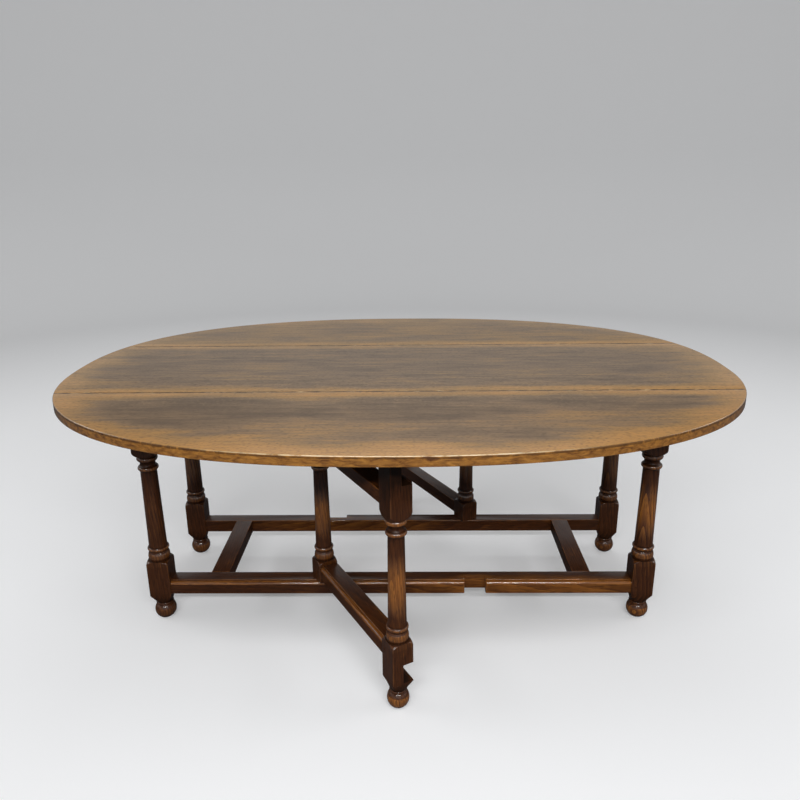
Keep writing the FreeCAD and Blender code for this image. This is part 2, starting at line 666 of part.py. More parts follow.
hinge_pieces = {"hinge_panel_flaps": panel_flap, "hinge_leaf_flaps": leaf_flap, "hinge_pins": hinge_pin}
for name, piece in hinge_pieces.items():
    group = Part.makeCompound([piece(x) for x in HINGE_PLACES])
    add_pair("front_" + name, "rear_" + name, group)

lower_rail, upper_rail = gate_rails()
gate_pieces = {"pivot_post": pivot_post(),
               "gate_leg": gate_leg(),
               "gate_lower_rail": gate_rail(*lower_rail, beaded=True),
               "gate_upper_rail": gate_rail(*upper_rail, beaded=False),
               "gate_pegs": Part.makeCompound(gate_pegs()),
               "leaf_stop": leaf_stop()}
for name, piece in gate_pieces.items():
    add_pair("front_" + name, "rear_" + name, swung_open(piece))

os.makedirs("parts", exist_ok=True)
for name, shape in nodes.items():
    shape.exportStep("parts/" + name + ".step")
    print(name, "solids", len(shape.Solids), "valid", shape.isValid(), "volume", round(shape.Volume))
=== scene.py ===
import bmesh
import bpy
import math
from mathutils import Matrix, Vector


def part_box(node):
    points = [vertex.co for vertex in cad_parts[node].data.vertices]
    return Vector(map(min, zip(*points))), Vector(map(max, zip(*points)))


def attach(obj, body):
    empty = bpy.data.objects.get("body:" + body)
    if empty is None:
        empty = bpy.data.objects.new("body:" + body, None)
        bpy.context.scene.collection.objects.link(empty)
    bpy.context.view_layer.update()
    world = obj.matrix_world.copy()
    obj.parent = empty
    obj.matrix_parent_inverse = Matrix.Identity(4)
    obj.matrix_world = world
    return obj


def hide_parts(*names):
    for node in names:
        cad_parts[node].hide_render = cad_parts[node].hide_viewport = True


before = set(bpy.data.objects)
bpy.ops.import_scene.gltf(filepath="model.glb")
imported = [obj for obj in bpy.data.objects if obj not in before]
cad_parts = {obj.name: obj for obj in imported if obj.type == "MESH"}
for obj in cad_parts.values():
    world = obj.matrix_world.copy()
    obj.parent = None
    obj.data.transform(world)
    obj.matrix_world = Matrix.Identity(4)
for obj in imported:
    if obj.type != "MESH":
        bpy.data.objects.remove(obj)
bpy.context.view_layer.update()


# Corner legs: square oak stock turned between a lower and an upper block, stained dark and waxed.
# The lathe cuts a profile, and where the profile runs outside the stock a square block is left.
# Hands, shoes and dusters have rubbed the stain thin on rings, collars, columns and feet.
def srgb(hex_colour, alpha=1.0):
    """Linear colour for a hex value as it is seen on a screen."""
    parts = [int(hex_colour[i:i + 2], 16) / 255 for i in (1, 3, 5)]
    return [c / 12.92 if c <= 0.04045 else ((c + 0.055) / 1.055) ** 2.4 for c in parts] + [alpha]


def feed(tree, node, inputs):
    """Sets inputs of a node: each is a value, a socket, or a node whose first live output is linked."""
    for key, value in inputs.items():
        if isinstance(value, bpy.types.Node):
            value = next(socket for socket in value.outputs if socket.enabled)
        if isinstance(value, bpy.types.NodeSocket):
            tree.links.new(value, node.inputs[key])
        else:
            node.inputs[key].default_value = value


def put(tree, kind, inputs=None, stops=(), **settings):
    """Adds a node with its settings, inputs and, for a ramp, its stops as (place, hex colour)."""
    made = tree.nodes.new(kind)
    for key, value in settings.items():
        setattr(made, key, value)
    for i, (position, colour) in enumerate(stops):
        stop = made.color_ramp.elements[i] if i < 2 else made.color_ramp.elements.new(position)
        stop.position = position
        stop.color = srgb(colour)
    feed(tree, made, inputs or {})
    return made


def finish_named(name):
    """New material with its node tree, its shader and the place on the piece that patterns follow."""
    finish = bpy.data.materials.new(name)
    finish.use_nodes = True
    tree = finish.node_tree
    return finish, tree, tree.nodes["Principled BSDF"], put(tree, "ShaderNodeTexCoord").outputs["Object"]


def stained_oak(name, along, centre, wax=1.0, ring_share=0.25, rubs=()):
    """Oak stained brown-black and waxed: arched rings, dark pores, gold where the stain is rubbed off.

    The grain runs along the piece: along is the turn that lays X on it, centre a point on the piece.
    Wax says how much polish is left where the piece is rubbed; the rest is dull with dust.
    Ring share says how far the rings show beside the fibres, and rubs are places where the stain has gone.
    """
    oak, tree, shader, place = finish_named(name)
    wood = put(tree, "ShaderNodeMapping",
               {"Vector": place, "Location": centre, "Rotation": along}, vector_type="TEXTURE")
    # Rings lie round a heart outside the piece that leans a little, so that the lathe cuts them into arches.
    # They are drawn 8 mm apart, twice as far as in the wood, so that they show.
    ring_m = 0.008
    heart = put(tree, "ShaderNodeMapping", {"Vector": wood, "Location": (0.0, 0.080, 0.045),
                                            "Rotation": (0.0, math.radians(2.4), math.radians(-3.2))})
    drawn = put(tree, "ShaderNodeMapping", {"Vector": heart, "Scale": (0.12, 1.0, 1.0)})
    rings = put(tree, "ShaderNodeTexWave", {"Vector": drawn, "Scale": math.pi / 10 / ring_m,
                                            "Distortion": 5.0, "Detail": 2.0, "Detail Scale": 0.5},
                wave_type="RINGS", wave_profile="SAW")
    # Fibres 2.6 mm and pores 1.3 mm wide, both drawn coarser than they are
    fibre_at = put(tree, "ShaderNodeMapping", {"Vector": wood, "Scale": (1 / 0.07, 1 / 0.0026, 1 / 0.0026)})
    fibre = put(tree, "ShaderNodeTexNoise", {"Vector": fibre_at, "Scale": 1.0, "Detail": 3.0})
    pore_at = put(tree, "ShaderNodeMapping", {"Vector": wood, "Scale": (1 / 0.022, 1 / 0.0013, 1 / 0.0013)})
    pore = put(tree, "ShaderNodeTexNoise", {"Vector": pore_at, "Scale": 1.0, "Detail": 0.0})
    pores = put(tree, "ShaderNodeMapRange",
                {"Value": pore, "From Min": 0.61, "From Max": 0.72, "To Max": 0.68})
    figure = put(tree, "ShaderNodeMix", {"Factor": ring_share, "A": fibre, "B": rings.outputs["Fac"]})
    stain = put(tree, "ShaderNodeValToRGB", {"Fac": figure}, stops=((0.14, "#34190C"), (0.88, "#583116")))
    bare = put(tree, "ShaderNodeValToRGB", {"Fac": figure}, stops=((0.14, "#582A10"), (0.82, "#B8742D")))
    # Wear marked on the piece, broken up by patches of about 40 mm and held back in the dark of each ring
    handled = put(tree, "ShaderNodeAttribute", attribute_name="wear").outputs["Fac"]
    worn = handled
    for spot_at, spot_size, strength in rubs:
        near = put(tree, "ShaderNodeMapping",
                   {"Vector": place, "Location": spot_at, "Scale": spot_size}, vector_type="TEXTURE")
        spot = put(tree, "ShaderNodeTexGradient", {"Vector": near}, gradient_type="SPHERICAL")
        spot = put(tree, "ShaderNodeMapRange", {"Value": spot.outputs["Fac"], "From Max": 0.6,
                                                "To Max": strength}, interpolation_type="SMOOTHSTEP")
        worn = put(tree, "ShaderNodeMath", {0: worn, 1: spot}, operation="ADD")
    patch_at = put(tree, "ShaderNodeMapping", {"Vector": wood, "Scale": (1 / 0.09, 1 / 0.04, 1 / 0.04)})
    patch = put(tree, "ShaderNodeTexNoise", {"Vector": patch_at, "Scale": 1.0, "Detail": 4.0})
    uneven = put(tree, "ShaderNodeMix", {"Factor": 0.35, "A": patch, "B": figure})
    rub = put(tree, "ShaderNodeMath", {0: worn, 1: uneven}, operation="ADD")
    rubbed_and_painted_light = put(tree, "ShaderNodeMapRange", {"Value": rub, "From Min": 0.55, "From Max": 1.25})
    # Darker where wear is below zero: dirt in the hollows, and painted shade on the upper blocks and in laps
    grime_and_painted_shade = put(tree, "ShaderNodeMapRange",
                {"Value": rub, "From Min": 0.42, "From Max": 0.05, "To Max": 0.85})
    ground = put(tree, "ShaderNodeMix", {"Factor": rubbed_and_painted_light, "A": stain, "B": bare}, data_type="RGBA")
    filled = put(tree, "ShaderNodeMix",
                 {"Factor": pores, "A": ground, "B": srgb("#1E0F06")}, data_type="RGBA")
    dirty_and_shaded = put(tree, "ShaderNodeMix",
                {"Factor": grime_and_painted_shade, "A": filled, "B": srgb("#150B05")}, data_type="RGBA")
    dull = put(tree, "ShaderNodeMapRange",
               {"Value": patch, "From Min": 0.3, "From Max": 0.7, "To Min": 0.30, "To Max": 0.46})
    # Hands and dusters buff the wax where they rub, and shoes only scuff it
    buffed = put(tree, "ShaderNodeMapRange", {"Value": handled, "From Min": -0.35, "From Max": 0.25})
    buffed = put(tree, "ShaderNodeMath", {0: buffed, 1: 2.6}, operation="POWER")
    buffed = put(tree, "ShaderNodeMath", {0: buffed, 1: wax}, operation="MULTIPLY")
    relief = put(tree, "ShaderNodeMath", {0: fibre, 1: pores}, operation="SUBTRACT")
    bump = put(tree, "ShaderNodeBump", {"Height": relief, "Strength": 0.25, "Distance": 0.0004})
    # Small knocks about 7 mm across break up the gloss of the wax
    knocks = put(tree, "ShaderNodeTexNoise", {"Vector": place, "Scale": 1 / 0.007, "Detail": 2.0})
    dented = put(tree, "ShaderNodeBump", {"Height": knocks, "Strength": 0.3, "Distance": 0.0010})
    feed(tree, shader, {"Base Color": dirty_and_shaded, "Roughness": dull, "Specular IOR Level": 0.20, "Normal": bump,
                        "Coat Weight": buffed, "Coat Roughness": 0.08, "Coat IOR": 1.70,
                        "Coat Normal": dented})
    return oak


def bend(start, middle, end, steps):
    """Points of the arc through three profile points, without its first point."""
    (ax, ay), (bx, by), (cx, cy) = start, middle, end
    d = 2 * (ax * (by - cy) + bx * (cy - ay) + cx * (ay - by))
    a, b, c = ax ** 2 + ay ** 2, bx ** 2 + by ** 2, cx ** 2 + cy ** 2
    ox = (a * (by - cy) + b * (cy - ay) + c * (ay - by)) / d
    oy = (a * (cx - bx) + b * (ax - cx) + c * (bx - ax)) / d
    radius = math.hypot(ax - ox, ay - oy)
    first = math.atan2(ay - oy, ax - ox)
    via = (math.atan2(by - oy, bx - ox) - first) % (2 * math.pi)
    last = (math.atan2(cy - oy, cx - ox) - first) % (2 * math.pi)
    if via > last:
        last -= 2 * math.pi
    turns = [first + last * i / steps for i in range(1, steps + 1)]
    return [(ox + radius * math.cos(turn), oy + radius * math.sin(turn)) for turn in turns]


def turned_profile(half, top, hand_wear, collar_wear):
    """Profile of a leg in millimetres as (radius, height, wear), for stock of a given half width.

    Wear runs from -1, dark dirt in the hollows and painted shade on the upper block, to 1, bare wood. Hand
    wear says how bare the column is, and the foot and the base bulge follow it; collar wear says how bare the
    collar is.
    """
    corner = half * math.sqrt(2)
    points = [(0.0, 0.0, 0.0)]

    def run(wear, *steps):
        points.extend((r, z, wear) for r, z in steps)

    def swell(wear, root, crest, low, high):
        hollow, count = -0.35, 12
        for i, step in enumerate(bend((root, low), (crest, (low + high) / 2), (root, high), count), 1):
            run(hollow + (wear - hollow) * math.sin(math.pi * i / count), step)

    def shoulder(corner_z, r, z):
        bow = math.sqrt(0.5)
        return (corner, corner_z), (r + (corner - r) * bow, corner_z + (z - corner_z) * bow), (r, z)

    # Ball foot with a thin ring over it
    sole = half - 17.0
    ankle = half - 9.0
    run(-0.2, (sole, 0.0))
    for i, step in enumerate(bend((sole, 0.0), (half - 0.5, 26.5), (ankle, 48.0), 20)):
        run(0.16 + 0.58 * hand_wear if 5 < i < 15 else 0.04, step)
    run(-0.4, (ankle, 48.0))
    swell(0.10, ankle, ankle + 2.5, 48.0, 56.0)
    # Lower block, cut in at a slope below and rounded off above
    run(-0.1, (corner, 56.0 + 1.35 * (corner - ankle)))
    run(0.0, (corner, 110.0), (corner, 150.0), (corner, 187.0))
    for i, step in enumerate(bend(*shoulder(187.0, half - 3.0, 206.0), 12)):
        run(0.08 if i < 9 else -0.35, step)
    # Base bulge and ring
    for i, step in enumerate(bend((half - 3.0, 206.0), (half - 0.6, 215.0), (half - 5.5, 233.0), 14)):
        run(0.24 + 0.20 * hand_wear if 2 < i < 11 else -0.05, step)
    run(-0.4, (half - 5.5, 237.0), (half - 5.0, 237.0))
    swell(0.48, half - 5.0, half - 1.0, 237.0, 249.0)
    # Tapered column, from its foot to its head
    foot = (half - 6.0, 253.0)
    run(-0.05, foot)
    block_low = top - 156.0
    cup_low = block_low - 31.0
    collar_low = cup_low - 15.0
    neck_low = collar_low - 16.0
    ring_low = neck_low - 13.0
    head = (half - 9.0, ring_low - 4.0)
    column_steps = 12
    for i in range(1, column_steps + 1):
        t = i / column_steps
        run(hand_wear * math.sin(math.pi * min(1.0, t * 1.1)) ** 2,
            (foot[0] + (head[0] - foot[0]) * t, foot[1] + (head[1] - foot[1]) * t))
    # Upper ring, neck and collar
    run(-0.2, (half - 7.0, ring_low))
    swell(0.50, half - 7.0, half - 3.0, ring_low, neck_low)
    waist = (half - 11.0, (neck_low + collar_low) / 2)
    run(-0.2, *bend((half - 7.0, neck_low), waist, (half - 6.8, collar_low), 10))
    swell(collar_wear, half - 6.8, half - 2.8, collar_low, cup_low)
    # Cup and upper block, with painted shade that darkens the block towards the top, under the table top
    run(0.0, *bend(*reversed(shoulder(block_low, half - 6.8, cup_low)), 14))
    run(-0.24, (corner, block_low + 40.0))
    run(-0.46, (corner, block_low + 80.0), (corner, block_low + 120.0), (corner, top), (0.0, top))
    return points


def maker_tree(name, *sizes):
    """New node tree that makes a piece, and what it is given: a mesh, named sizes and a material."""
    tree = bpy.data.node_groups.new(name, "GeometryNodeTree")
    for label, kind in (("Geometry", "Geometry"), *sizes, ("Material", "Material")):
        tree.interface.new_socket(label, in_out="INPUT", socket_type="NodeSocket" + kind)
    tree.interface.new_socket("Geometry", in_out="OUTPUT", socket_type="NodeSocketGeometry")
    return tree, put(tree, "NodeGroupInput").outputs


def hand_over(tree, made, material):
    """Ends a node tree: gives what it has made as real mesh in its material."""
    real = put(tree, "GeometryNodeRealizeInstances", {"Geometry": made})
    coloured = put(tree, "GeometryNodeSetMaterial", {"Geometry": real, "Material": material})
    put(tree, "NodeGroupOutput", {0: coloured})


def turning_tree():
    """Lathe for a leg: turns a profile, keeps it inside the square stock, halves it where a lap is cut."""
    tree, given = maker_tree("Turned from square stock", ("Half stock", "Float"), ("Arris", "Float"),
                             ("Arris wear", "Float"), ("Spindle", "Float"), ("Facets", "Int"),
                             ("Turn", "Vector"), ("Place", "Vector"))
    profile = put(tree, "GeometryNodeMeshToCurve", {"Mesh": given["Geometry"]})
    circle = put(tree, "GeometryNodeCurvePrimitiveCircle",
                 {"Resolution": given["Facets"], "Radius": given["Spindle"]})
    turned = put(tree, "GeometryNodeCurveToMesh", {"Curve": circle, "Profile Curve": profile})
    closed = put(tree, "GeometryNodeMergeByDistance", {"Geometry": turned, "Distance": 1e-6})
    at = put(tree, "ShaderNodeSeparateXYZ", {0: put(tree, "GeometryNodeInputPosition")})
    half = given["Half stock"]
    minus = put(tree, "ShaderNodeMath", {0: half, 1: -1.0}, operation="MULTIPLY")
    halved = put(tree, "GeometryNodeInputNamedAttribute", {"Name": "halved"}, data_type="FLOAT")
    back = put(tree, "ShaderNodeMath", {0: 1.0, 1: halved}, operation="SUBTRACT")
    back = put(tree, "ShaderNodeMath", {0: back, 1: half}, operation="MULTIPLY")
    flat_x = put(tree, "ShaderNodeClamp", {"Value": at.outputs["X"], "Min": minus, "Max": half})
    flat_y = put(tree, "ShaderNodeClamp", {"Value": at.outputs["Y"], "Min": minus, "Max": back})
    # Arris: what lies in the corner square of the stock is drawn in onto its quarter round
    inner = put(tree, "ShaderNodeMath", {0: half, 1: given["Arris"]}, operation="SUBTRACT")
    over = []
    sign = []
    for flat in (flat_x, flat_y):
        size = put(tree, "ShaderNodeMath", {0: flat}, operation="ABSOLUTE")
        past = put(tree, "ShaderNodeMath", {0: size, 1: inner}, operation="SUBTRACT")
        over.append(put(tree, "ShaderNodeMath", {0: past, 1: 0.0}, operation="MAXIMUM"))
        sign.append(put(tree, "ShaderNodeMath", {0: flat}, operation="SIGN"))
    reach = put(tree, "ShaderNodeCombineXYZ", {"X": over[0], "Y": over[1]})
    reach = put(tree, "ShaderNodeVectorMath", {0: reach}, operation="LENGTH")
    excess = put(tree, "ShaderNodeMath", {0: reach, 1: given["Arris"]}, operation="MAXIMUM")
    draw = put(tree, "ShaderNodeMath", {0: given["Arris"], 1: excess}, operation="DIVIDE")
    eased = []
    for flat, past, way in ((flat_x, over[0], sign[0]), (flat_y, over[1], sign[1])):
        cut = put(tree, "ShaderNodeMath", {0: 1.0, 1: draw}, operation="SUBTRACT")
        cut = put(tree, "ShaderNodeMath", {0: cut, 1: past}, operation="MULTIPLY")
        cut = put(tree, "ShaderNodeMath", {0: cut, 1: way}, operation="MULTIPLY")
        eased.append(put(tree, "ShaderNodeMath", {0: flat, 1: cut}, operation="SUBTRACT"))
    shaped = put(tree, "ShaderNodeCombineXYZ", {"X": eased[0], "Y": eased[1], "Z": at.outputs["Z"]})
    # The same corner square takes the arris wear
    least = put(tree, "ShaderNodeMath", {0: over[0], 1: over[1]}, operation="MINIMUM")
    share = put(tree, "ShaderNodeMath", {0: least, 1: given["Arris"]}, operation="DIVIDE")
    added = put(tree, "ShaderNodeMath", {0: share, 1: given["Arris wear"]}, operation="MULTIPLY")
    wear = put(tree, "GeometryNodeInputNamedAttribute", {"Name": "wear"}, data_type="FLOAT")
    total = put(tree, "ShaderNodeMath", {0: wear, 1: added}, operation="ADD")
    # A lap is sawn out, so its faces are never rubbed or waxed, and they are darkened with painted shade
    lap_unwaxed_and_shaded = -0.7
    past_middle = 0.0005
    behind = put(tree, "ShaderNodeMath", {0: at.outputs["Y"], 1: past_middle}, operation="GREATER_THAN")
    sawn = put(tree, "ShaderNodeMath", {0: behind, 1: halved}, operation="MULTIPLY")
    total = put(tree, "ShaderNodeMath", {0: sawn, 1: lap_unwaxed_and_shaded, 2: total}, operation="MULTIPLY_ADD")
    marked = put(tree, "GeometryNodeStoreNamedAttribute",
                 {"Geometry": closed, "Name": "wear", "Value": total}, data_type="FLOAT")
    squared = put(tree, "GeometryNodeSetPosition", {"Geometry": marked, "Position": shaped})
    stood = put(tree, "GeometryNodeTransform",
                {"Geometry": squared, "Translation": given["Place"], "Rotation": given["Turn"]})
    crisp_from = math.radians(38)
    angle = put(tree, "GeometryNodeInputMeshEdgeAngle")
    crisp = put(tree, "FunctionNodeCompare", {0: angle, 1: crisp_from}, operation="GREATER_THAN")
    smooth = put(tree, "GeometryNodeSetShadeSmooth", {"Geometry": stood}, domain="FACE")
    edged = put(tree, "GeometryNodeSetShadeSmooth",
                {"Geometry": smooth, "Selection": crisp, "Shade Smooth": False}, domain="EDGE")
    hand_over(tree, edged, given["Material"])
    return tree


def placed(name, data):
    """New object in the scene, at the origin."""
    thing = bpy.data.objects.new(name, data)
    bpy.context.scene.collection.objects.link(thing)
    return thing


def grown(name, mesh, tree, sizes):
    """Piece that a node tree makes from a mesh and named sizes, as a plain mesh at the origin."""
    piece = placed(name, mesh)
    maker = piece.modifiers.new(tree.name, "NODES")
    maker.node_group = tree
    for socket in tree.interface.items_tree:
        if socket.in_out == "INPUT" and socket.name in sizes:
            maker[socket.identifier] = sizes[socket.name]
    result = bpy.data.meshes.new_from_object(piece.evaluated_get(bpy.context.evaluated_depsgraph_get()))
    piece.modifiers.clear()
    piece.data = result
    return piece


lathe = turning_tree()
# A profile rides round a circle of the spindle's radius, in as many steps as a turning has facets.
SPINDLE, FACETS = 0.2, 128
TURNED_ARRIS, TURNED_ARRIS_WEAR = 0.0025, 0.30


def turned_piece(name, profile, half, place, turn, material, laps=()):
    """One turned piece, from a profile in millimetres; laps are the heights between which it is halved."""
    chain = bpy.data.meshes.new(name)
    chain.from_pydata([(r / 1000 - SPINDLE, -z / 1000, 0.0) for r, z, _ in profile],
                      [(i, i + 1) for i in range(len(profile) - 1)], [])
    wear = chain.attributes.new("wear", "FLOAT", "POINT")
    halved = chain.attributes.new("halved", "FLOAT", "POINT")
    for i, (r, z, rubbed_and_painted_light) in enumerate(profile):
        wear.data[i].value = rubbed_and_painted_light
        halved.data[i].value = 1.0 if any(low < z < high for low, high in laps) else 0.0
    return grown(name, chain, lathe, {"Half stock": half / 1000, "Arris": TURNED_ARRIS,
                                      "Arris wear": TURNED_ARRIS_WEAR, "Spindle": SPINDLE, "Facets": FACETS,
                                      "Turn": (0.0, 0.0, turn), "Place": place, "Material": material})


UPRIGHT = (0.0, math.radians(90), 0.0)
LEG_HALF = 33.0
LEG_TOP = 733.0
LEG_X, LEG_Y = 0.7425, 0.200
LEG_COLLAR_WEAR = 0.30
# The leg at the end where people pass has the barest column, so its rings show best.
for node, side_x, side_y, bareness, ring_share in (("front_left_leg", -1, -1, 0.08, 0.25),
                                                   ("front_right_leg", 1, -1, 0.68, 0.50),
                                                   ("rear_left_leg", -1, 1, 0.40, 0.30),
                                                   ("rear_right_leg", 1, 1, 0.34, 0.35)):
    axis = (side_x * LEG_X, side_y * LEG_Y, 0.0)
    oak = stained_oak("stained oak, turned " + node.replace("_", " "), UPRIGHT, axis, 1.0, ring_share)
    profile = turned_profile(LEG_HALF, LEG_TOP, bareness, LEG_COLLAR_WEAR)
    leg = turned_piece(node + "_turned", profile, LEG_HALF, axis, 0.0, oak)
    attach(leg, "frame")
    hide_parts(node)


# Aprons and stretchers: planed oak rails tenoned between the legs, stained like them.
# The arrises and the bead were softened with a plane, and feet have rubbed the stain off them.
# Their paler colour is partly that wear and partly a painted highlight.
RAIL_EASE, EASE_STEPS, EASED_WEAR_AND_HIGHLIGHT = 0.0016, 3, 0.48
WELD, FLAT_WITHIN = 1e-5, math.radians(0.5)
ARRIS_FROM, CREASE_FROM = math.radians(40), math.radians(35)
SQUARE_ON = 0.985


def eased_copy(node, ease, oak, heading=0.0):
    """Shown piece for a solid: the same wood with every arris softened and marked, as wear and painted
    highlight.
    """
    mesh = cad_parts[node].data.copy()
    made = bmesh.new()
    made.from_mesh(mesh)
    bmesh.ops.remove_doubles(made, verts=made.verts, dist=WELD)
    bmesh.ops.dissolve_limit(made, angle_limit=FLAT_WITHIN, verts=made.verts, edges=made.edges)
    made.to_mesh(mesh)
    made.free()
    mesh.materials.clear()
    piece = placed(node + "_wood", mesh)
    bevel = piece.modifiers.new("eased arrises", "BEVEL")
    bevel.width = ease
    bevel.segments = EASE_STEPS
    bevel.limit_method = "ANGLE"
    bevel.angle_limit = ARRIS_FROM
    piece.data = bpy.data.meshes.new_from_object(piece.evaluated_get(bpy.context.evaluated_depsgraph_get()))
    piece.modifiers.clear()
    unturned = Matrix.Rotation(-heading, 3, "Z")
    worn = piece.data.attributes.new("wear", "FLOAT", "FACE")
    for face in piece.data.polygons:
        softened = max(abs(c) for c in unturned @ face.normal) < SQUARE_ON
        worn.data[face.index].value = EASED_WEAR_AND_HIGHLIGHT if softened else 0.0
    piece.data.shade_smooth()
    piece.data.set_sharp_from_angle(angle=CREASE_FROM)
    piece.data.materials.append(oak)
    return piece


ALONG_X = (0.0, 0.0, 0.0)
ALONG_Y = (0.0, 0.0, math.radians(90))
# Shoes rub the outer faces of the stretchers, and the gate leg rubs the notch that it shuts into.
# Each rub has a place, a reach and a strength.
RUBS = (((0.40, -0.236, 0.115), (0.48, 0.055, 0.080), 0.50),
        ((-0.18, 0.164, 0.115), (0.42, 0.055, 0.080), 0.30),
        ((0.232, -0.200, 0.118), (0.075, 0.022, 0.080), 0.30),
        ((-0.232, 0.200, 0.118), (0.075, 0.022, 0.080), 0.30))
RAIL_HEART = (0.0, 0.0, 0.1)
DUSTY_WAX = 0.20
long_rail_oak = stained_oak("stained oak, planed long rails", ALONG_X, RAIL_HEART, rubs=RUBS)
cross_rail_oak = stained_oak("stained oak, planed cross rails", ALONG_Y, RAIL_HEART, DUSTY_WAX)
for node, oak in (("front_apron", long_rail_oak), ("rear_apron", long_rail_oak),
                  ("front_stretcher", long_rail_oak), ("rear_stretcher", long_rail_oak),
                  ("left_apron", cross_rail_oak), ("right_apron", cross_rail_oak),
                  ("left_cross_stretcher", cross_rail_oak), ("right_cross_stretcher", cross_rail_oak)):
    rail = eased_copy(node, RAIL_EASE, oak)
    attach(rail, "frame")
    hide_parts(node)


# Pegs: riven oak, driven through leg and tenon a hair proud and stained with the frame.
# Their ends are end grain, which drinks the stain, but here the pegs take the same stained oak all over.
peg_oak = stained_oak("stained oak, riven pegs", ALONG_Y, RAIL_HEART, DUSTY_WAX)
for node in ("frame_pegs", "front_gate_pegs", "rear_gate_pegs"):
    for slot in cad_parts[node].material_slots:
        slot.material = peg_oak


# Gates: a pivot post and a gate leg, turned like the legs from thinner stock, with two rails between.
# The gate leg is halved at apron and stretcher, so that the closed gate folds flush into the frame.
# Both are pulled by hand, so their columns and collars are rubbed bare.
GATE_HALF = 30.0
OPEN = math.radians(-60)
PIVOT_X = 0.232
POST_LOW, POST_HIGH, POST_END = 136.3, 644.7, 10.0
PIN_RADIUS, PIN_LENGTH = 11.0, 30.0
GATE_LEG_TOP = 732.7
LAPS = ((87.0, 142.0), (639.0, 800.0))
GATE_LEG_WEAR, POST_WEAR = (0.72, 0.85), (0.52, 0.60)
GATE_RAIL_WAX = 0.35
SHOULDER = 0.01


def with_levels(profile, levels):
    """Profile with a pair of points at each level, so that a lap has crisp shoulders."""
    out = [profile[0]]
    for (r0, z0, w0), (r1, z1, w1) in zip(profile, profile[1:]):
        for level in sorted(levels):
            if z0 < level < z1:
                t = (level - z0) / (z1 - z0)
                for shift in (-SHOULDER, SHOULDER):
                    out.append((r0 + (r1 - r0) * t, level + shift, w0 + (w1 - w0) * t))
        out.append((r1, z1, w1))
    return out


corner = GATE_HALF * math.sqrt(2)
pin_low, pin_high = POST_LOW - PIN_LENGTH, POST_HIGH + PIN_LENGTH
post_profile = [(0.0, pin_low, 0.0), (PIN_RADIUS, pin_low, 0.0), (PIN_RADIUS, POST_LOW, 0.0),
                (corner, POST_LOW, 0.0)]
post_profile += [p for p in turned_profile(GATE_HALF, LEG_TOP, *POST_WEAR)
                 if POST_LOW + POST_END < p[1] < POST_HIGH - POST_END]
post_profile += [(corner, POST_HIGH, 0.0), (PIN_RADIUS, POST_HIGH, 0.0), (PIN_RADIUS, pin_high, 0.0),
                 (0.0, pin_high, 0.0)]
gate_leg_profile = turned_profile(GATE_HALF, LEG_TOP, *GATE_LEG_WEAR)[:-1]
gate_leg_profile = with_levels(gate_leg_profile, [z for lap in LAPS for z in lap])
gate_leg_profile = [(r, min(z, GATE_LEG_TOP), w) for r, z, w in gate_leg_profile]
gate_leg_profile.append((0.0, GATE_LEG_TOP, 0.0))
for row, half_turn in (("front", 0.0), ("rear", math.pi)):
    body = row + "_gate"
    spin = Matrix.Rotation(half_turn, 3, "Z")
    pivot = spin @ Vector((-PIVOT_X, -LEG_Y, 0.0))
    reach = Matrix.Rotation(OPEN, 3, "Z") @ Vector((2 * PIVOT_X, 0.0, 0.0))
    foot = spin @ (Vector((-PIVOT_X, -LEG_Y, 0.0)) + reach)
    for node, profile, place, laps in ((row + "_pivot_post", post_profile, pivot, ()),
                                       (row + "_gate_leg", gate_leg_profile, foot, LAPS)):
        oak = stained_oak("stained oak, turned " + node.replace("_", " "), UPRIGHT, place)
        piece = turned_piece(node + "_turned", profile, GATE_HALF, place, half_turn + OPEN, oak, laps)
        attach(piece, body)
        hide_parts(node)
    oak = stained_oak("stained oak, planed " + row + " gate rails", (0.0, 0.0, OPEN), pivot, GATE_RAIL_WAX)
    for node in (row + "_gate_lower_rail", row + "_gate_upper_rail"):
        rail = eased_copy(node, RAIL_EASE, oak, OPEN)
        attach(rail, body)
        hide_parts(node)


# Top: a fixed panel and two leaves of wide oak boards, glued edge to edge and waxed, with the grain along it.
# Sleeves and cloths keep rims and seams honey gold, and where plates have stood the wood is dull grey-brown.
TOP_HALF_X, TOP_HALF_Y, TOP_Z, TOP_FULLNESS = 0.995, 0.735, 0.760, 2.34
SEAM_Y = 0.2706
BOARD_WIDTH = 0.180
BOARD_EASE = 0.0006
# Each dull place has a centre, a reach along and across, and a strength.
DULL_PLACES = (((-0.06, 0.000), (1.50, 0.480), 0.28), ((0.00, 0.450), (1.15, 0.290), 0.14),
               ((-0.52, -0.430), (0.42, 0.180), 0.50), ((0.52, -0.365), (0.48, 0.110), 0.41),
               ((0.02, -0.420), (0.52, 0.150), 0.43), ((0.25, -0.600), (0.36, 0.110), 0.30),
               ((0.00, -0.440), (1.10, 0.290), 0.17))


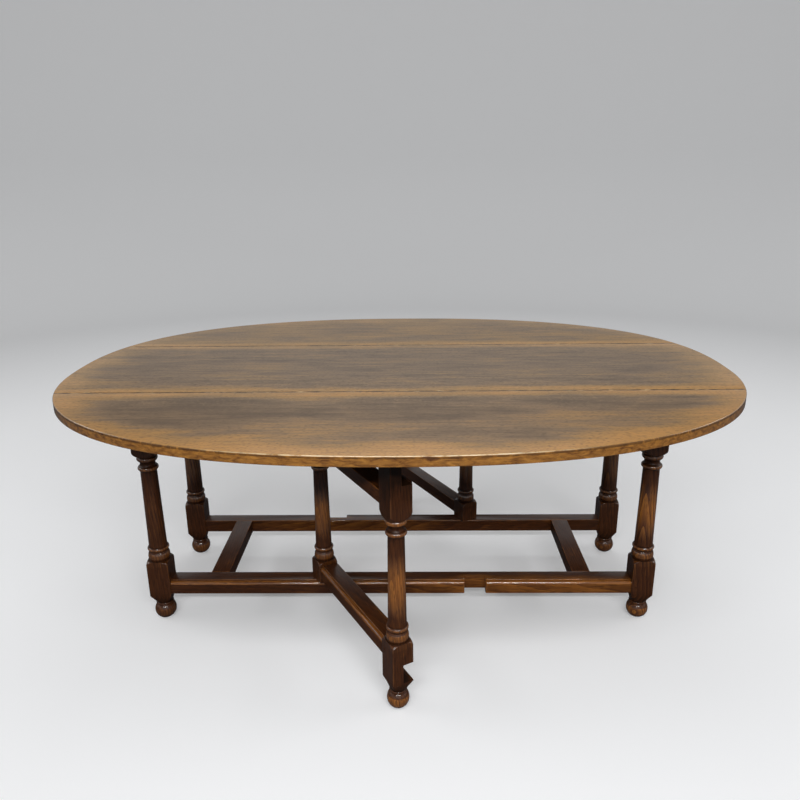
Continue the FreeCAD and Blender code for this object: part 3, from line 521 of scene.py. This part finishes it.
def waxed_top_oak():
    """Waxed oak boards: satin, a long straight grain, dull patches with soft edges and a browner rim."""
    oak, tree, shader, place = finish_named("waxed oak top boards")
    at = put(tree, "ShaderNodeSeparateXYZ", {0: place})
    along = put(tree, "ShaderNodeMath", {0: at.outputs["X"]}, operation="ABSOLUTE")
    across = put(tree, "ShaderNodeMath", {0: at.outputs["Y"]}, operation="ABSOLUTE")

    # Soft-edged honey bands, 100 mm wide at the rim and 50 mm at the seams, that wander by a third of that
    # in waves 290 mm long and 70 mm wide
    wander_at = put(tree, "ShaderNodeMapping", {"Vector": place, "Scale": (3.5, 14.0, 0.0)})
    wander = put(tree, "ShaderNodeTexNoise", {"Vector": wander_at, "Scale": 1.0, "Detail": 5.0})
    off = put(tree, "ShaderNodeMath", {0: wander, 1: 0.5}, operation="SUBTRACT")
    parts = []
    for side, reach in ((along, TOP_HALF_X), (across, TOP_HALF_Y)):
        part = put(tree, "ShaderNodeMath", {0: side, 1: reach}, operation="DIVIDE")
        parts.append(put(tree, "ShaderNodeMath", {0: part, 1: TOP_FULLNESS}, operation="POWER"))
    oval = put(tree, "ShaderNodeMath", {0: parts[0], 1: parts[1]}, operation="ADD")
    oval = put(tree, "ShaderNodeMath", {0: oval, 1: 1 / TOP_FULLNESS}, operation="POWER")
    oval = put(tree, "ShaderNodeMath", {0: off, 1: 0.16, 2: oval}, operation="MULTIPLY_ADD")
    rim = put(tree, "ShaderNodeMapRange",
              {"Value": oval, "From Min": 0.86, "From Max": 1.00}, interpolation_type="SMOOTHSTEP")
    near = put(tree, "ShaderNodeMapRange",
               {"Value": at.outputs["Y"], "From Min": 0.45, "From Max": -0.10, "To Min": 0.35})
    rim = put(tree, "ShaderNodeMath", {0: rim, 1: near}, operation="MULTIPLY")
    from_seam = put(tree, "ShaderNodeMath", {0: across, 1: SEAM_Y}, operation="SUBTRACT")
    from_seam = put(tree, "ShaderNodeMath", {0: from_seam}, operation="ABSOLUTE")
    seam_edge = put(tree, "ShaderNodeMath", {0: off, 1: 0.045, 2: from_seam}, operation="MULTIPLY_ADD")
    seam = put(tree, "ShaderNodeMapRange",
               {"Value": seam_edge, "From Min": 0.060, "From Max": 0.020}, interpolation_type="SMOOTHSTEP")
    honey = put(tree, "ShaderNodeMath", {0: rim, 1: seam}, operation="MAXIMUM")

    # Dull places, in broad patches and in streaks 22, 10 and 5 mm wide that follow the grain
    dull = None
    right_through = 1000.0
    for (x, y), (long_m, wide_m), strength in DULL_PLACES:
        spot_at = put(tree, "ShaderNodeMapping",
                      {"Vector": place, "Location": (x, y, 0.0), "Scale": (long_m, wide_m, right_through)},
                      vector_type="TEXTURE")
        spot = put(tree, "ShaderNodeTexGradient", {"Vector": spot_at}, gradient_type="SPHERICAL")
        soft = put(tree, "ShaderNodeMapRange", {"Value": spot.outputs["Fac"], "From Max": 0.55,
                                                "To Max": strength}, interpolation_type="SMOOTHSTEP")
        if dull is None:
            dull = soft
        else:
            dull = put(tree, "ShaderNodeMath", {0: dull, 1: soft}, operation="MAXIMUM")
    # Each board shows another length of the log, so its grain is shifted
    board = put(tree, "ShaderNodeMath", {0: at.outputs["Y"], 1: BOARD_WIDTH / 2}, operation="ADD")
    board = put(tree, "ShaderNodeMath", {0: board, 1: BOARD_WIDTH}, operation="DIVIDE")
    board = put(tree, "ShaderNodeMath", {0: board}, operation="FLOOR")
    shift = put(tree, "ShaderNodeVectorMath", {0: board, 1: (3.7, 1.9, 0.83)}, operation="MULTIPLY")
    grain = put(tree, "ShaderNodeVectorMath", {0: place, 1: shift}, operation="ADD")
    patch_at = put(tree, "ShaderNodeMapping",
                   {"Vector": place, "Scale": (1 / 0.28, 1 / 0.075, 0.0), "Location": (3.1, 7.7, 0.0)})
    patch = put(tree, "ShaderNodeTexNoise",
                {"Vector": patch_at, "Scale": 1.0, "Detail": 5.0, "Roughness": 0.6})
    streaks = []
    for long_m, wide_m in ((0.45, 0.022), (0.16, 0.010), (0.05, 0.005)):
        streak_at = put(tree, "ShaderNodeMapping",
                        {"Vector": grain, "Scale": (1 / long_m, 1 / wide_m, 1 / wide_m)})
        streaks.append(put(tree, "ShaderNodeTexNoise",
                           {"Vector": streak_at, "Scale": 1.0, "Detail": 4.0, "Roughness": 0.62}))
    shade = put(tree, "ShaderNodeMath", {0: patch, 1: 0.95, 2: dull}, operation="MULTIPLY_ADD")
    for streak, share in zip(streaks, (0.55, 0.80, 0.65)):
        shade = put(tree, "ShaderNodeMath", {0: streak, 1: share, 2: shade}, operation="MULTIPLY_ADD")
    shade = put(tree, "ShaderNodeMath", {0: shade, 1: 1.10}, operation="SUBTRACT")
    kept = put(tree, "ShaderNodeMath", {0: honey, 1: 0.40}, operation="MULTIPLY")
    shade = put(tree, "ShaderNodeMath", {0: shade, 1: kept}, operation="SUBTRACT")
    face = put(tree, "ShaderNodeValToRGB", {"Fac": shade}, stops=((0.0, "#B2874F"), (0.35, "#98794F"),
                                                                  (0.62, "#7F6B56"), (0.95, "#645649")))
    # Painted sheen: the front leaf is made a little browner, so the panel and rear leaf look greyer with
    # sheen
    painted_sheen_browner = put(tree, "ShaderNodeMapRange",
                  {"Value": at.outputs["Y"], "From Min": -0.10, "From Max": -0.45})
    toned = put(tree, "ShaderNodeMix", {"Factor": painted_sheen_browner, "A": face, "B": srgb("#F9F0E0")},
                data_type="RGBA", blend_type="MULTIPLY")

    # Pores: short dark dashes along the grain, drawn 4 mm wide, ten times their width, so that they show
    pore_at = put(tree, "ShaderNodeMapping", {"Vector": grain, "Scale": (1 / 0.009, 1 / 0.004, 1 / 0.004)})
    pore = put(tree, "ShaderNodeTexNoise", {"Vector": pore_at, "Scale": 1.0, "Detail": 0.0})
    pores = put(tree, "ShaderNodeMapRange",
                {"Value": pore, "From Min": 0.52, "From Max": 0.76, "To Max": 0.44})
    pored = put(tree, "ShaderNodeMix",
                {"Factor": pores, "A": toned, "B": srgb("#4E3D2C")}, data_type="RGBA")
    # Medullary flecks: pale blots on the quarter-sawn boards next to the seams, about 15 mm across
    fleck_at = put(tree, "ShaderNodeMapping", {"Vector": grain, "Scale": (1 / 0.015, 1 / 0.014, 1 / 0.014)})
    fleck = put(tree, "ShaderNodeTexNoise",
                {"Vector": fleck_at, "Scale": 1.0, "Detail": 1.0, "Distortion": 0.8})
    flecks = put(tree, "ShaderNodeMapRange", {"Value": fleck, "From Min": 0.54, "From Max": 0.70})
    quarter = put(tree, "ShaderNodeMapRange",
                  {"Value": from_seam, "From Min": 0.19, "From Max": 0.06, "To Max": 0.16})
    flecks = put(tree, "ShaderNodeMath", {0: flecks, 1: quarter}, operation="MULTIPLY")
    flecked = put(tree, "ShaderNodeMix",
                  {"Factor": flecks, "A": pored, "B": srgb("#B79B74")}, data_type="RGBA")

    # Seams: dirt packed in a broken line, drawn 6 mm wide so that it shows, and pale chips of the edge
    gap_at = put(tree, "ShaderNodeMapping", {"Vector": place, "Scale": (1 / 0.035, 1 / 0.004, 0.0)})
    gap = put(tree, "ShaderNodeTexNoise", {"Vector": gap_at, "Scale": 1.0, "Detail": 3.0})
    gap_edge = put(tree, "ShaderNodeMath", {0: gap, 1: -0.0165, 2: from_seam}, operation="MULTIPLY_ADD")
    dirt = put(tree, "ShaderNodeMapRange", {"Value": gap_edge, "From Min": -0.0047, "From Max": -0.0062})
    chip = put(tree, "ShaderNodeMapRange", {"Value": gap, "From Min": 0.40, "From Max": 0.30})
    chipped = put(tree, "ShaderNodeMapRange", {"Value": from_seam, "From Min": 0.009, "From Max": 0.005})
    chip = put(tree, "ShaderNodeMath", {0: chip, 1: chipped}, operation="MULTIPLY")
    split = put(tree, "ShaderNodeMix",
                {"Factor": chip, "A": flecked, "B": srgb("#D2BC94")}, data_type="RGBA")
    seamed = put(tree, "ShaderNodeMix",
                 {"Factor": dirt, "A": split, "B": srgb("#24160B")}, data_type="RGBA")

    # Rim: a browner polish on the edge, specked where it is end grain
    speck_at = put(tree, "ShaderNodeMapping", {"Vector": place, "Rotation": (0.0, 0.6, 0.0),
                                               "Scale": (1 / 0.030, 1 / 0.012, 1 / 0.009)})
    speck = put(tree, "ShaderNodeTexNoise",
                {"Vector": speck_at, "Scale": 1.0, "Detail": 5.0, "Roughness": 0.65, "Distortion": 0.6})
    edge = put(tree, "ShaderNodeValToRGB", {"Fac": speck}, stops=((0.32, "#5A310F"), (0.68, "#B67D35")))
    on_edge = put(tree, "ShaderNodeMapRange",
                  {"Value": at.outputs["Z"], "From Min": TOP_Z - 0.0018, "From Max": TOP_Z - 0.0034})
    rimmed = put(tree, "ShaderNodeMix", {"Factor": on_edge, "A": seamed, "B": edge}, data_type="RGBA")
    # Lines along it: a dark line on the arris, a dark line under that, and a painted highlight on the arris
    # itself. Each has its depth below the top, how far from there it fades in and is full, and its strength.
    lines = []
    for below_top, outer, inner, most in ((0.0030, 0.0026, 0.0008, 1.0), (0.0058, 0.0026, 0.0008, 0.75),
                                          (0.0016, 0.0014, 0.0006, 1.0)):
        away = put(tree, "ShaderNodeMath", {0: at.outputs["Z"], 1: TOP_Z - below_top}, operation="SUBTRACT")
        away = put(tree, "ShaderNodeMath", {0: away}, operation="ABSOLUTE")
        lines.append(put(tree, "ShaderNodeMapRange",
                         {"Value": away, "From Min": outer, "From Max": inner, "To Max": most}))
    arris_dark_line, low_dark_line, painted_arris_highlight = lines
    # Both dark lines are broken, and the upper one is weaker at the middle of each side, under the painted
    # highlight
    patchy = put(tree, "ShaderNodeMapRange", {"Value": gap, "From Min": 0.32, "From Max": 0.48})
    ends = put(tree, "ShaderNodeMapRange",
               {"Value": along, "From Min": 0.20, "From Max": 0.45, "To Min": 0.15, "To Max": 0.72})
    arris_dark_line = put(tree, "ShaderNodeMath", {0: arris_dark_line, 1: patchy}, operation="MULTIPLY")
    arris_dark_line = put(tree, "ShaderNodeMath", {0: arris_dark_line, 1: ends}, operation="MULTIPLY")
    low_dark_line = put(tree, "ShaderNodeMath", {0: low_dark_line, 1: patchy}, operation="MULTIPLY")
    line = put(tree, "ShaderNodeMath", {0: arris_dark_line, 1: low_dark_line}, operation="MAXIMUM")
    lined = put(tree, "ShaderNodeMix",
                {"Factor": line, "A": rimmed, "B": srgb("#432B15")}, data_type="RGBA")
    # Painted highlight: a pale line on the arris at the middle of each side, broken up by the specks
    middle = put(tree, "ShaderNodeMapRange",
                 {"Value": along, "From Min": 0.48, "From Max": 0.25, "To Max": 0.75})
    broken = put(tree, "ShaderNodeMapRange", {"Value": speck, "From Min": 0.38, "From Max": 0.52})
    pale = put(tree, "ShaderNodeMath", {0: painted_arris_highlight, 1: middle}, operation="MULTIPLY")
    pale = put(tree, "ShaderNodeMath", {0: pale, 1: broken}, operation="MULTIPLY")
    rubbed_and_painted_light = put(tree, "ShaderNodeMix",
                 {"Factor": pale, "A": lined, "B": srgb("#E2CDA6")}, data_type="RGBA")
    # Underside: never polished, so dry, greyer and darker
    raw = put(tree, "ShaderNodeValToRGB", {"Fac": streaks[0]}, stops=((0.30, "#5C4630"), (0.70, "#8A6C4A")))
    under = put(tree, "ShaderNodeMapRange",
                {"Value": at.outputs["Z"], "From Min": TOP_Z - 0.0262, "From Max": TOP_Z - 0.0268})
    whole = put(tree, "ShaderNodeMix", {"Factor": under, "A": rubbed_and_painted_light, "B": raw}, data_type="RGBA")
    matt = put(tree, "ShaderNodeMapRange", {"Value": shade, "To Min": 0.40, "To Max": 0.56})
    dry = put(tree, "ShaderNodeMix", {"Factor": under, "A": matt, "B": 0.8})
    # Wax: whole on the edge, a little of it left along the rim of the face, and none on the underside
    wax = put(tree, "ShaderNodeMapRange", {"Value": rim, "To Max": 0.10})
    arris = put(tree, "ShaderNodeMapRange",
                {"Value": at.outputs["Z"], "From Min": TOP_Z - 0.0002, "From Max": TOP_Z - 0.0010})
    wax = put(tree, "ShaderNodeMath", {0: wax, 1: arris}, operation="MAXIMUM")
    wax = put(tree, "ShaderNodeMath", {0: wax, 1: under}, operation="SUBTRACT", use_clamp=True)
    relief = put(tree, "ShaderNodeMath", {0: streaks[1], 1: pores}, operation="SUBTRACT")
    bump = put(tree, "ShaderNodeBump", {"Height": relief, "Strength": 0.18, "Distance": 0.0004})
    feed(tree, shader, {"Base Color": whole, "Roughness": dry, "Specular IOR Level": 0.30, "Normal": bump,
                        "Coat Weight": wax, "Coat Roughness": 0.12})
    return oak


top_oak = waxed_top_oak()
for node, body in (("top_centre_panel", "frame"), ("front_leaf", "front_leaf_body"),
                   ("rear_leaf", "rear_leaf_body")):
    board = eased_copy(node, BOARD_EASE, top_oak)
    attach(board, body)
    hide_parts(node)


# Back-flap hinges: wrought iron, three under each seam, let in flush with the long flap on the leaf.
# The iron is black from the forge with brown rust in patches, and slotted screws hold each flap.
def forged_iron():
    """Wrought iron with forge scale: near black, uneven and dull, with rust where the scale has gone."""
    iron, tree, shader, place = finish_named("wrought iron with forge scale")
    scale = put(tree, "ShaderNodeTexNoise", {"Vector": place, "Scale": 1 / 0.012, "Detail": 5.0})
    pitted = put(tree, "ShaderNodeTexNoise", {"Vector": place, "Scale": 1 / 0.0022, "Detail": 3.0})
    rust = put(tree, "ShaderNodeMapRange", {"Value": scale, "From Min": 0.52, "From Max": 0.68})
    coat = put(tree, "ShaderNodeMix",
               {"Factor": rust, "A": srgb("#34302D"), "B": srgb("#6A432A")}, data_type="RGBA")
    bright = put(tree, "ShaderNodeMapRange", {"Value": rust, "To Min": 0.85, "To Max": 0.10})
    dull = put(tree, "ShaderNodeMapRange", {"Value": pitted, "To Min": 0.42, "To Max": 0.75})
    bump = put(tree, "ShaderNodeBump", {"Height": pitted, "Strength": 0.35, "Distance": 0.0003})
    feed(tree, shader, {"Base Color": coat, "Metallic": bright, "Roughness": dull, "Normal": bump})
    return iron


def screw_tree():
    """Slotted screw heads that face down, one on each point, each slot turned as it was left."""
    tree, given = maker_tree("Slotted screw heads", ("Head radius", "Float"), ("Stand", "Float"),
                             ("Slot", "Float"), ("Seed", "Int"))
    # The head is a disc sunk by half its thickness, and the slot is as deep as the half that stands out
    thick = put(tree, "ShaderNodeMath", {0: given["Stand"], 1: 4.0}, operation="MULTIPLY")
    wide = put(tree, "ShaderNodeMath", {0: given["Head radius"], 1: 3.0}, operation="MULTIPLY")
    disc = put(tree, "GeometryNodeMeshCylinder",
               {"Vertices": 20, "Radius": given["Head radius"], "Depth": thick})
    sunk = put(tree, "ShaderNodeMath", {0: given["Stand"], 1: -2.0}, operation="MULTIPLY")
    low = put(tree, "ShaderNodeCombineXYZ", {"Z": sunk})
    size = put(tree, "ShaderNodeCombineXYZ", {"X": wide, "Y": given["Slot"], "Z": thick})
    bar = put(tree, "GeometryNodeMeshCube", {"Size": size})
    bar = put(tree, "GeometryNodeTransform", {"Geometry": bar, "Translation": low})
    head = put(tree, "GeometryNodeMeshBoolean", {"Mesh 1": disc, "Mesh 2": bar}, operation="DIFFERENCE")
    turn = put(tree, "FunctionNodeRandomValue", {"Min": (0.0, 0.0, 0.0), "Max": (0.0, 0.0, math.pi),
                                                 "Seed": given["Seed"]}, data_type="FLOAT_VECTOR")
    set_in = put(tree, "GeometryNodeInstanceOnPoints",
                 {"Points": given["Geometry"], "Instance": head, "Rotation": turn})
    hand_over(tree, set_in, given["Material"])
    return tree


iron = forged_iron()
screw_heads = screw_tree()
SCREW_STAND, SCREW_SLOT = 0.0004, 0.0011
FLAP_SCREW, BLOCK_SCREW = 0.0042, 0.0048


def screws(name, places, radius, seed, body):
    """Screw heads set in at the given places, which lie on faces that look down."""
    points = bpy.data.meshes.new(name)
    points.from_pydata(places, [], [])
    heads = grown(name, points, screw_heads, {"Head radius": radius, "Stand": SCREW_STAND, "Slot": SCREW_SLOT,
                                              "Seed": seed, "Material": iron})
    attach(heads, body)


UNDERSIDE = 0.733
HINGE_X = (-0.560, 0.0, 0.560)
HINGE_SEAM_Y = 0.270
PANEL_FLAP_HOLES = ((-0.026, 0.024), (0.0, 0.014), (0.026, 0.024))
LEAF_FLAP_HOLES = ((-0.027, 0.024), (0.027, 0.024), (-0.014, 0.054), (0.014, 0.054))
for row, way in (("front", -1.0), ("rear", 1.0)):
    for kind in ("_hinge_panel_flaps", "_hinge_leaf_flaps", "_hinge_pins"):
        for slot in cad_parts[row + kind].material_slots:
            slot.material = iron
    on_panel = [(x + dx, way * (HINGE_SEAM_Y - dy), UNDERSIDE)
                for x in HINGE_X for dx, dy in PANEL_FLAP_HOLES]
    on_leaf = [(x + dx, way * (HINGE_SEAM_Y + dy), UNDERSIDE)
               for x in HINGE_X for dx, dy in LEAF_FLAP_HOLES]
    screws(row + "_panel_flap_screws", on_panel, FLAP_SCREW, seed=3, body="frame")
    screws(row + "_leaf_flap_screws", on_leaf, FLAP_SCREW, seed=5, body=row + "_leaf_body")


# Rubbed blocks in the corner of aprons and panel, and the stops under the leaves that halt the open gates.
# They are sawn offcuts of oak, glued, screwed from below, and never stained.
def sawn_oak(name, along):
    """Unstained oak off the saw: dry, grey-brown, with a furry grain and saw marks across it."""
    oak, tree, shader, place = finish_named(name)
    wood = put(tree, "ShaderNodeMapping", {"Vector": place, "Rotation": along}, vector_type="TEXTURE")
    fibre_at = put(tree, "ShaderNodeMapping", {"Vector": wood, "Scale": (1 / 0.06, 1 / 0.003, 1 / 0.003)})
    fibre = put(tree, "ShaderNodeTexNoise", {"Vector": fibre_at, "Scale": 1.0, "Detail": 4.0})
    mark_m = 0.004
    marks = put(tree, "ShaderNodeTexWave",
                {"Vector": wood, "Scale": math.pi / 10 / mark_m, "Distortion": 1.5, "Detail": 2.0})
    tone = put(tree, "ShaderNodeMix", {"Factor": 0.25, "A": fibre, "B": marks.outputs["Fac"]})
    colour = put(tree, "ShaderNodeValToRGB", {"Fac": tone}, stops=((0.25, "#5F4932"), (0.75, "#9A7B56")))
    rough = put(tree, "ShaderNodeMapRange", {"Value": fibre, "To Min": 0.70, "To Max": 0.90})
    bump = put(tree, "ShaderNodeBump", {"Height": tone, "Strength": 0.4, "Distance": 0.0005})
    feed(tree, shader, {"Base Color": colour, "Roughness": rough, "Normal": bump})
    return oak


SAWN_EASE = 0.0015
block_oak = sawn_oak("sawn oak, rubbed blocks", ALONG_X)
blocks = eased_copy("top_glue_blocks", SAWN_EASE, block_oak)
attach(blocks, "frame")
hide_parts("top_glue_blocks")
BLOCK_UNDER = 0.703
SIDE_BLOCK_X, SIDE_BLOCK_Y, END_BLOCK_X = (-0.450, 0.0, 0.450), 0.163, 0.7055
BLOCK_HOLES = (-0.024, 0.024)
block_screws = [(x + dx, way * SIDE_BLOCK_Y, BLOCK_UNDER)
                for way in (-1, 1) for x in SIDE_BLOCK_X for dx in BLOCK_HOLES]
block_screws += [(way * END_BLOCK_X, dy, BLOCK_UNDER) for way in (-1, 1) for dy in BLOCK_HOLES]
screws("block_screws", block_screws, BLOCK_SCREW, seed=7, body="frame")

stop_oak = sawn_oak("sawn oak, leaf stops", (0.0, 0.0, OPEN))
STOP_UNDER, STOP_HOLE = 0.719, 0.020
for row in ("front", "rear"):
    node = row + "_leaf_stop"
    stop = eased_copy(node, SAWN_EASE, stop_oak, OPEN)
    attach(stop, row + "_leaf_body")
    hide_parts(node)
    low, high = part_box(node)
    middle = Vector([(a + b) / 2 for a, b in zip(low, high)])
    spread = Matrix.Rotation(OPEN, 3, "Z") @ Vector((STOP_HOLE, 0.0, 0.0))
    in_stop = [(p.x, p.y, STOP_UNDER) for p in (middle - spread, middle + spread)]
    screws(row + "_stop_screws", in_stop, FLAP_SCREW, seed=11, body=row + "_leaf_body")


# Floor and backdrop: one pale sweep all round, so that every side is seen against the same ground.
# Long strip lights hang all round the table, the strongest in front of it, and the air fills the shadows.
FLOOR_REACH, COVE, WALL_TOP = 5.0, 1.5, 5.0
SIDES, COVE_STEPS = 96, 12
cove_turns = [math.radians(90 * i / COVE_STEPS) for i in range(1, COVE_STEPS + 1)]
sweep_points = [(FLOOR_REACH, 0.0)]
sweep_points += [(FLOOR_REACH + COVE * math.sin(a), COVE - COVE * math.cos(a)) for a in cove_turns]
sweep_points.append((FLOOR_REACH + COVE, WALL_TOP))
sweep_mesh = bpy.data.meshes.new("studio_sweep")
headings = [2 * math.pi * i / SIDES for i in range(SIDES)]
rings = [[(r * math.cos(a), r * math.sin(a), z) for a in headings] for r, z in sweep_points]
corners = [(0.0, 0.0, 0.0)] + [p for ring in rings for p in ring]
faces = [(0, 1 + i, 1 + (i + 1) % SIDES) for i in range(SIDES)]
for k in range(len(rings) - 1):
    for i in range(SIDES):
        a, b = 1 + k * SIDES + i, 1 + k * SIDES + (i + 1) % SIDES
        faces.append((a, a + SIDES, b + SIDES, b))
sweep_mesh.from_pydata(corners, [], faces)
sweep_mesh.shade_smooth()
sweep = placed("studio_sweep", sweep_mesh)
paper, tree, sheet, where = finish_named("pale studio paper")
# The camera sees pale paper, the wood is lit by a mid grey floor, and its wax mirrors a darker floor and the
# pale lower part of the wall.
seen = put(tree, "ShaderNodeLightPath")
height = put(tree, "ShaderNodeSeparateXYZ", {0: where})
wall = put(tree, "ShaderNodeMapRange", {"Value": height.outputs["Z"], "From Min": 0.2, "From Max": 1.0})
high = put(tree, "ShaderNodeMapRange", {"Value": height.outputs["Z"], "From Min": 3.7, "From Max": 3.0})
wall = put(tree, "ShaderNodeMath", {0: wall, 1: high}, operation="MULTIPLY")
wall = put(tree, "ShaderNodeMath", {0: wall, 1: seen.outputs["Is Glossy Ray"]}, operation="MULTIPLY")
pale = put(tree, "ShaderNodeMath", {0: wall, 1: seen.outputs["Is Camera Ray"]}, operation="MAXIMUM")
floor = put(tree, "ShaderNodeMix", {"Factor": seen.outputs["Is Glossy Ray"], "A": srgb("#8E9092"),
                                    "B": srgb("#55575A")}, data_type="RGBA")
ground = put(tree, "ShaderNodeMix", {"Factor": pale, "A": floor, "B": srgb("#E6E7E9")}, data_type="RGBA")
PAPER_GLOW = 0.20
lift = put(tree, "ShaderNodeMath", {0: wall, 1: PAPER_GLOW, 2: PAPER_GLOW}, operation="MULTIPLY_ADD")
lift = put(tree, "ShaderNodeMath", {0: pale, 1: lift}, operation="MULTIPLY")
feed(tree, sheet, {"Base Color": ground, "Emission Strength": lift, "Roughness": 0.9})
sweep_mesh.materials.append(paper)

world = bpy.data.worlds.new("studio air")
world.use_nodes = True
feed(world.node_tree, world.node_tree.nodes["Background"], {"Color": srgb("#ECECEC"), "Strength": 0.35})
bpy.context.scene.world = world
LAMP_AIM = Vector((0.0, 0.0, 0.4))
for name, place, size, power in (("near strip", (0.0, -2.0, 3.1), (2.4, 0.18), 24.0),
                                 ("front strip", (0.2, -3.6, 2.6), (3.4, 0.18), 96.0),
                                 ("rear strip", (0.0, 2.7, 3.4), (3.0, 0.60), 27.0),
                                 ("left strip", (-4.0, 0.0, 2.4), (2.4, 0.50), 26.0),
                                 ("right strip", (4.0, 0.0, 2.4), (2.4, 0.50), 26.0)):
    lamp = bpy.data.lights.new(name, "AREA")
    lamp.shape = "RECTANGLE"
    lamp.size, lamp.size_y = size
    lamp.energy = power
    light = placed(name, lamp)
    light.location = place
    light.rotation_euler = (LAMP_AIM - Vector(place)).to_track_quat("-Z", "Y").to_euler()
    light.visible_camera = False
bpy.context.scene.view_settings.view_transform = "Standard"

# Camera: where the photographer stood, a little below standing eye height, square on to the long side.
# Its place and lens were fitted to the feet, the seams and the rim of the table.
CAMERA_PLACE = (0.03853, -2.14507, 1.34097)
PITCH, ROLL, HEADING = 0.31265, -0.01076, 0.01655
FOCAL_PX, PICTURE_PX = 714.54, 800
camera = placed("camera", bpy.data.cameras.new("camera"))
camera.data.sensor_width = 36.0
camera.data.lens = FOCAL_PX / PICTURE_PX * camera.data.sensor_width
tilt = Matrix.Rotation(math.pi / 2 - PITCH, 4, "X") @ Matrix.Rotation(ROLL, 4, "Z")
camera.matrix_world = Matrix.Translation(CAMERA_PLACE) @ Matrix.Rotation(HEADING, 4, "Z") @ tilt
bpy.context.scene.camera = camera
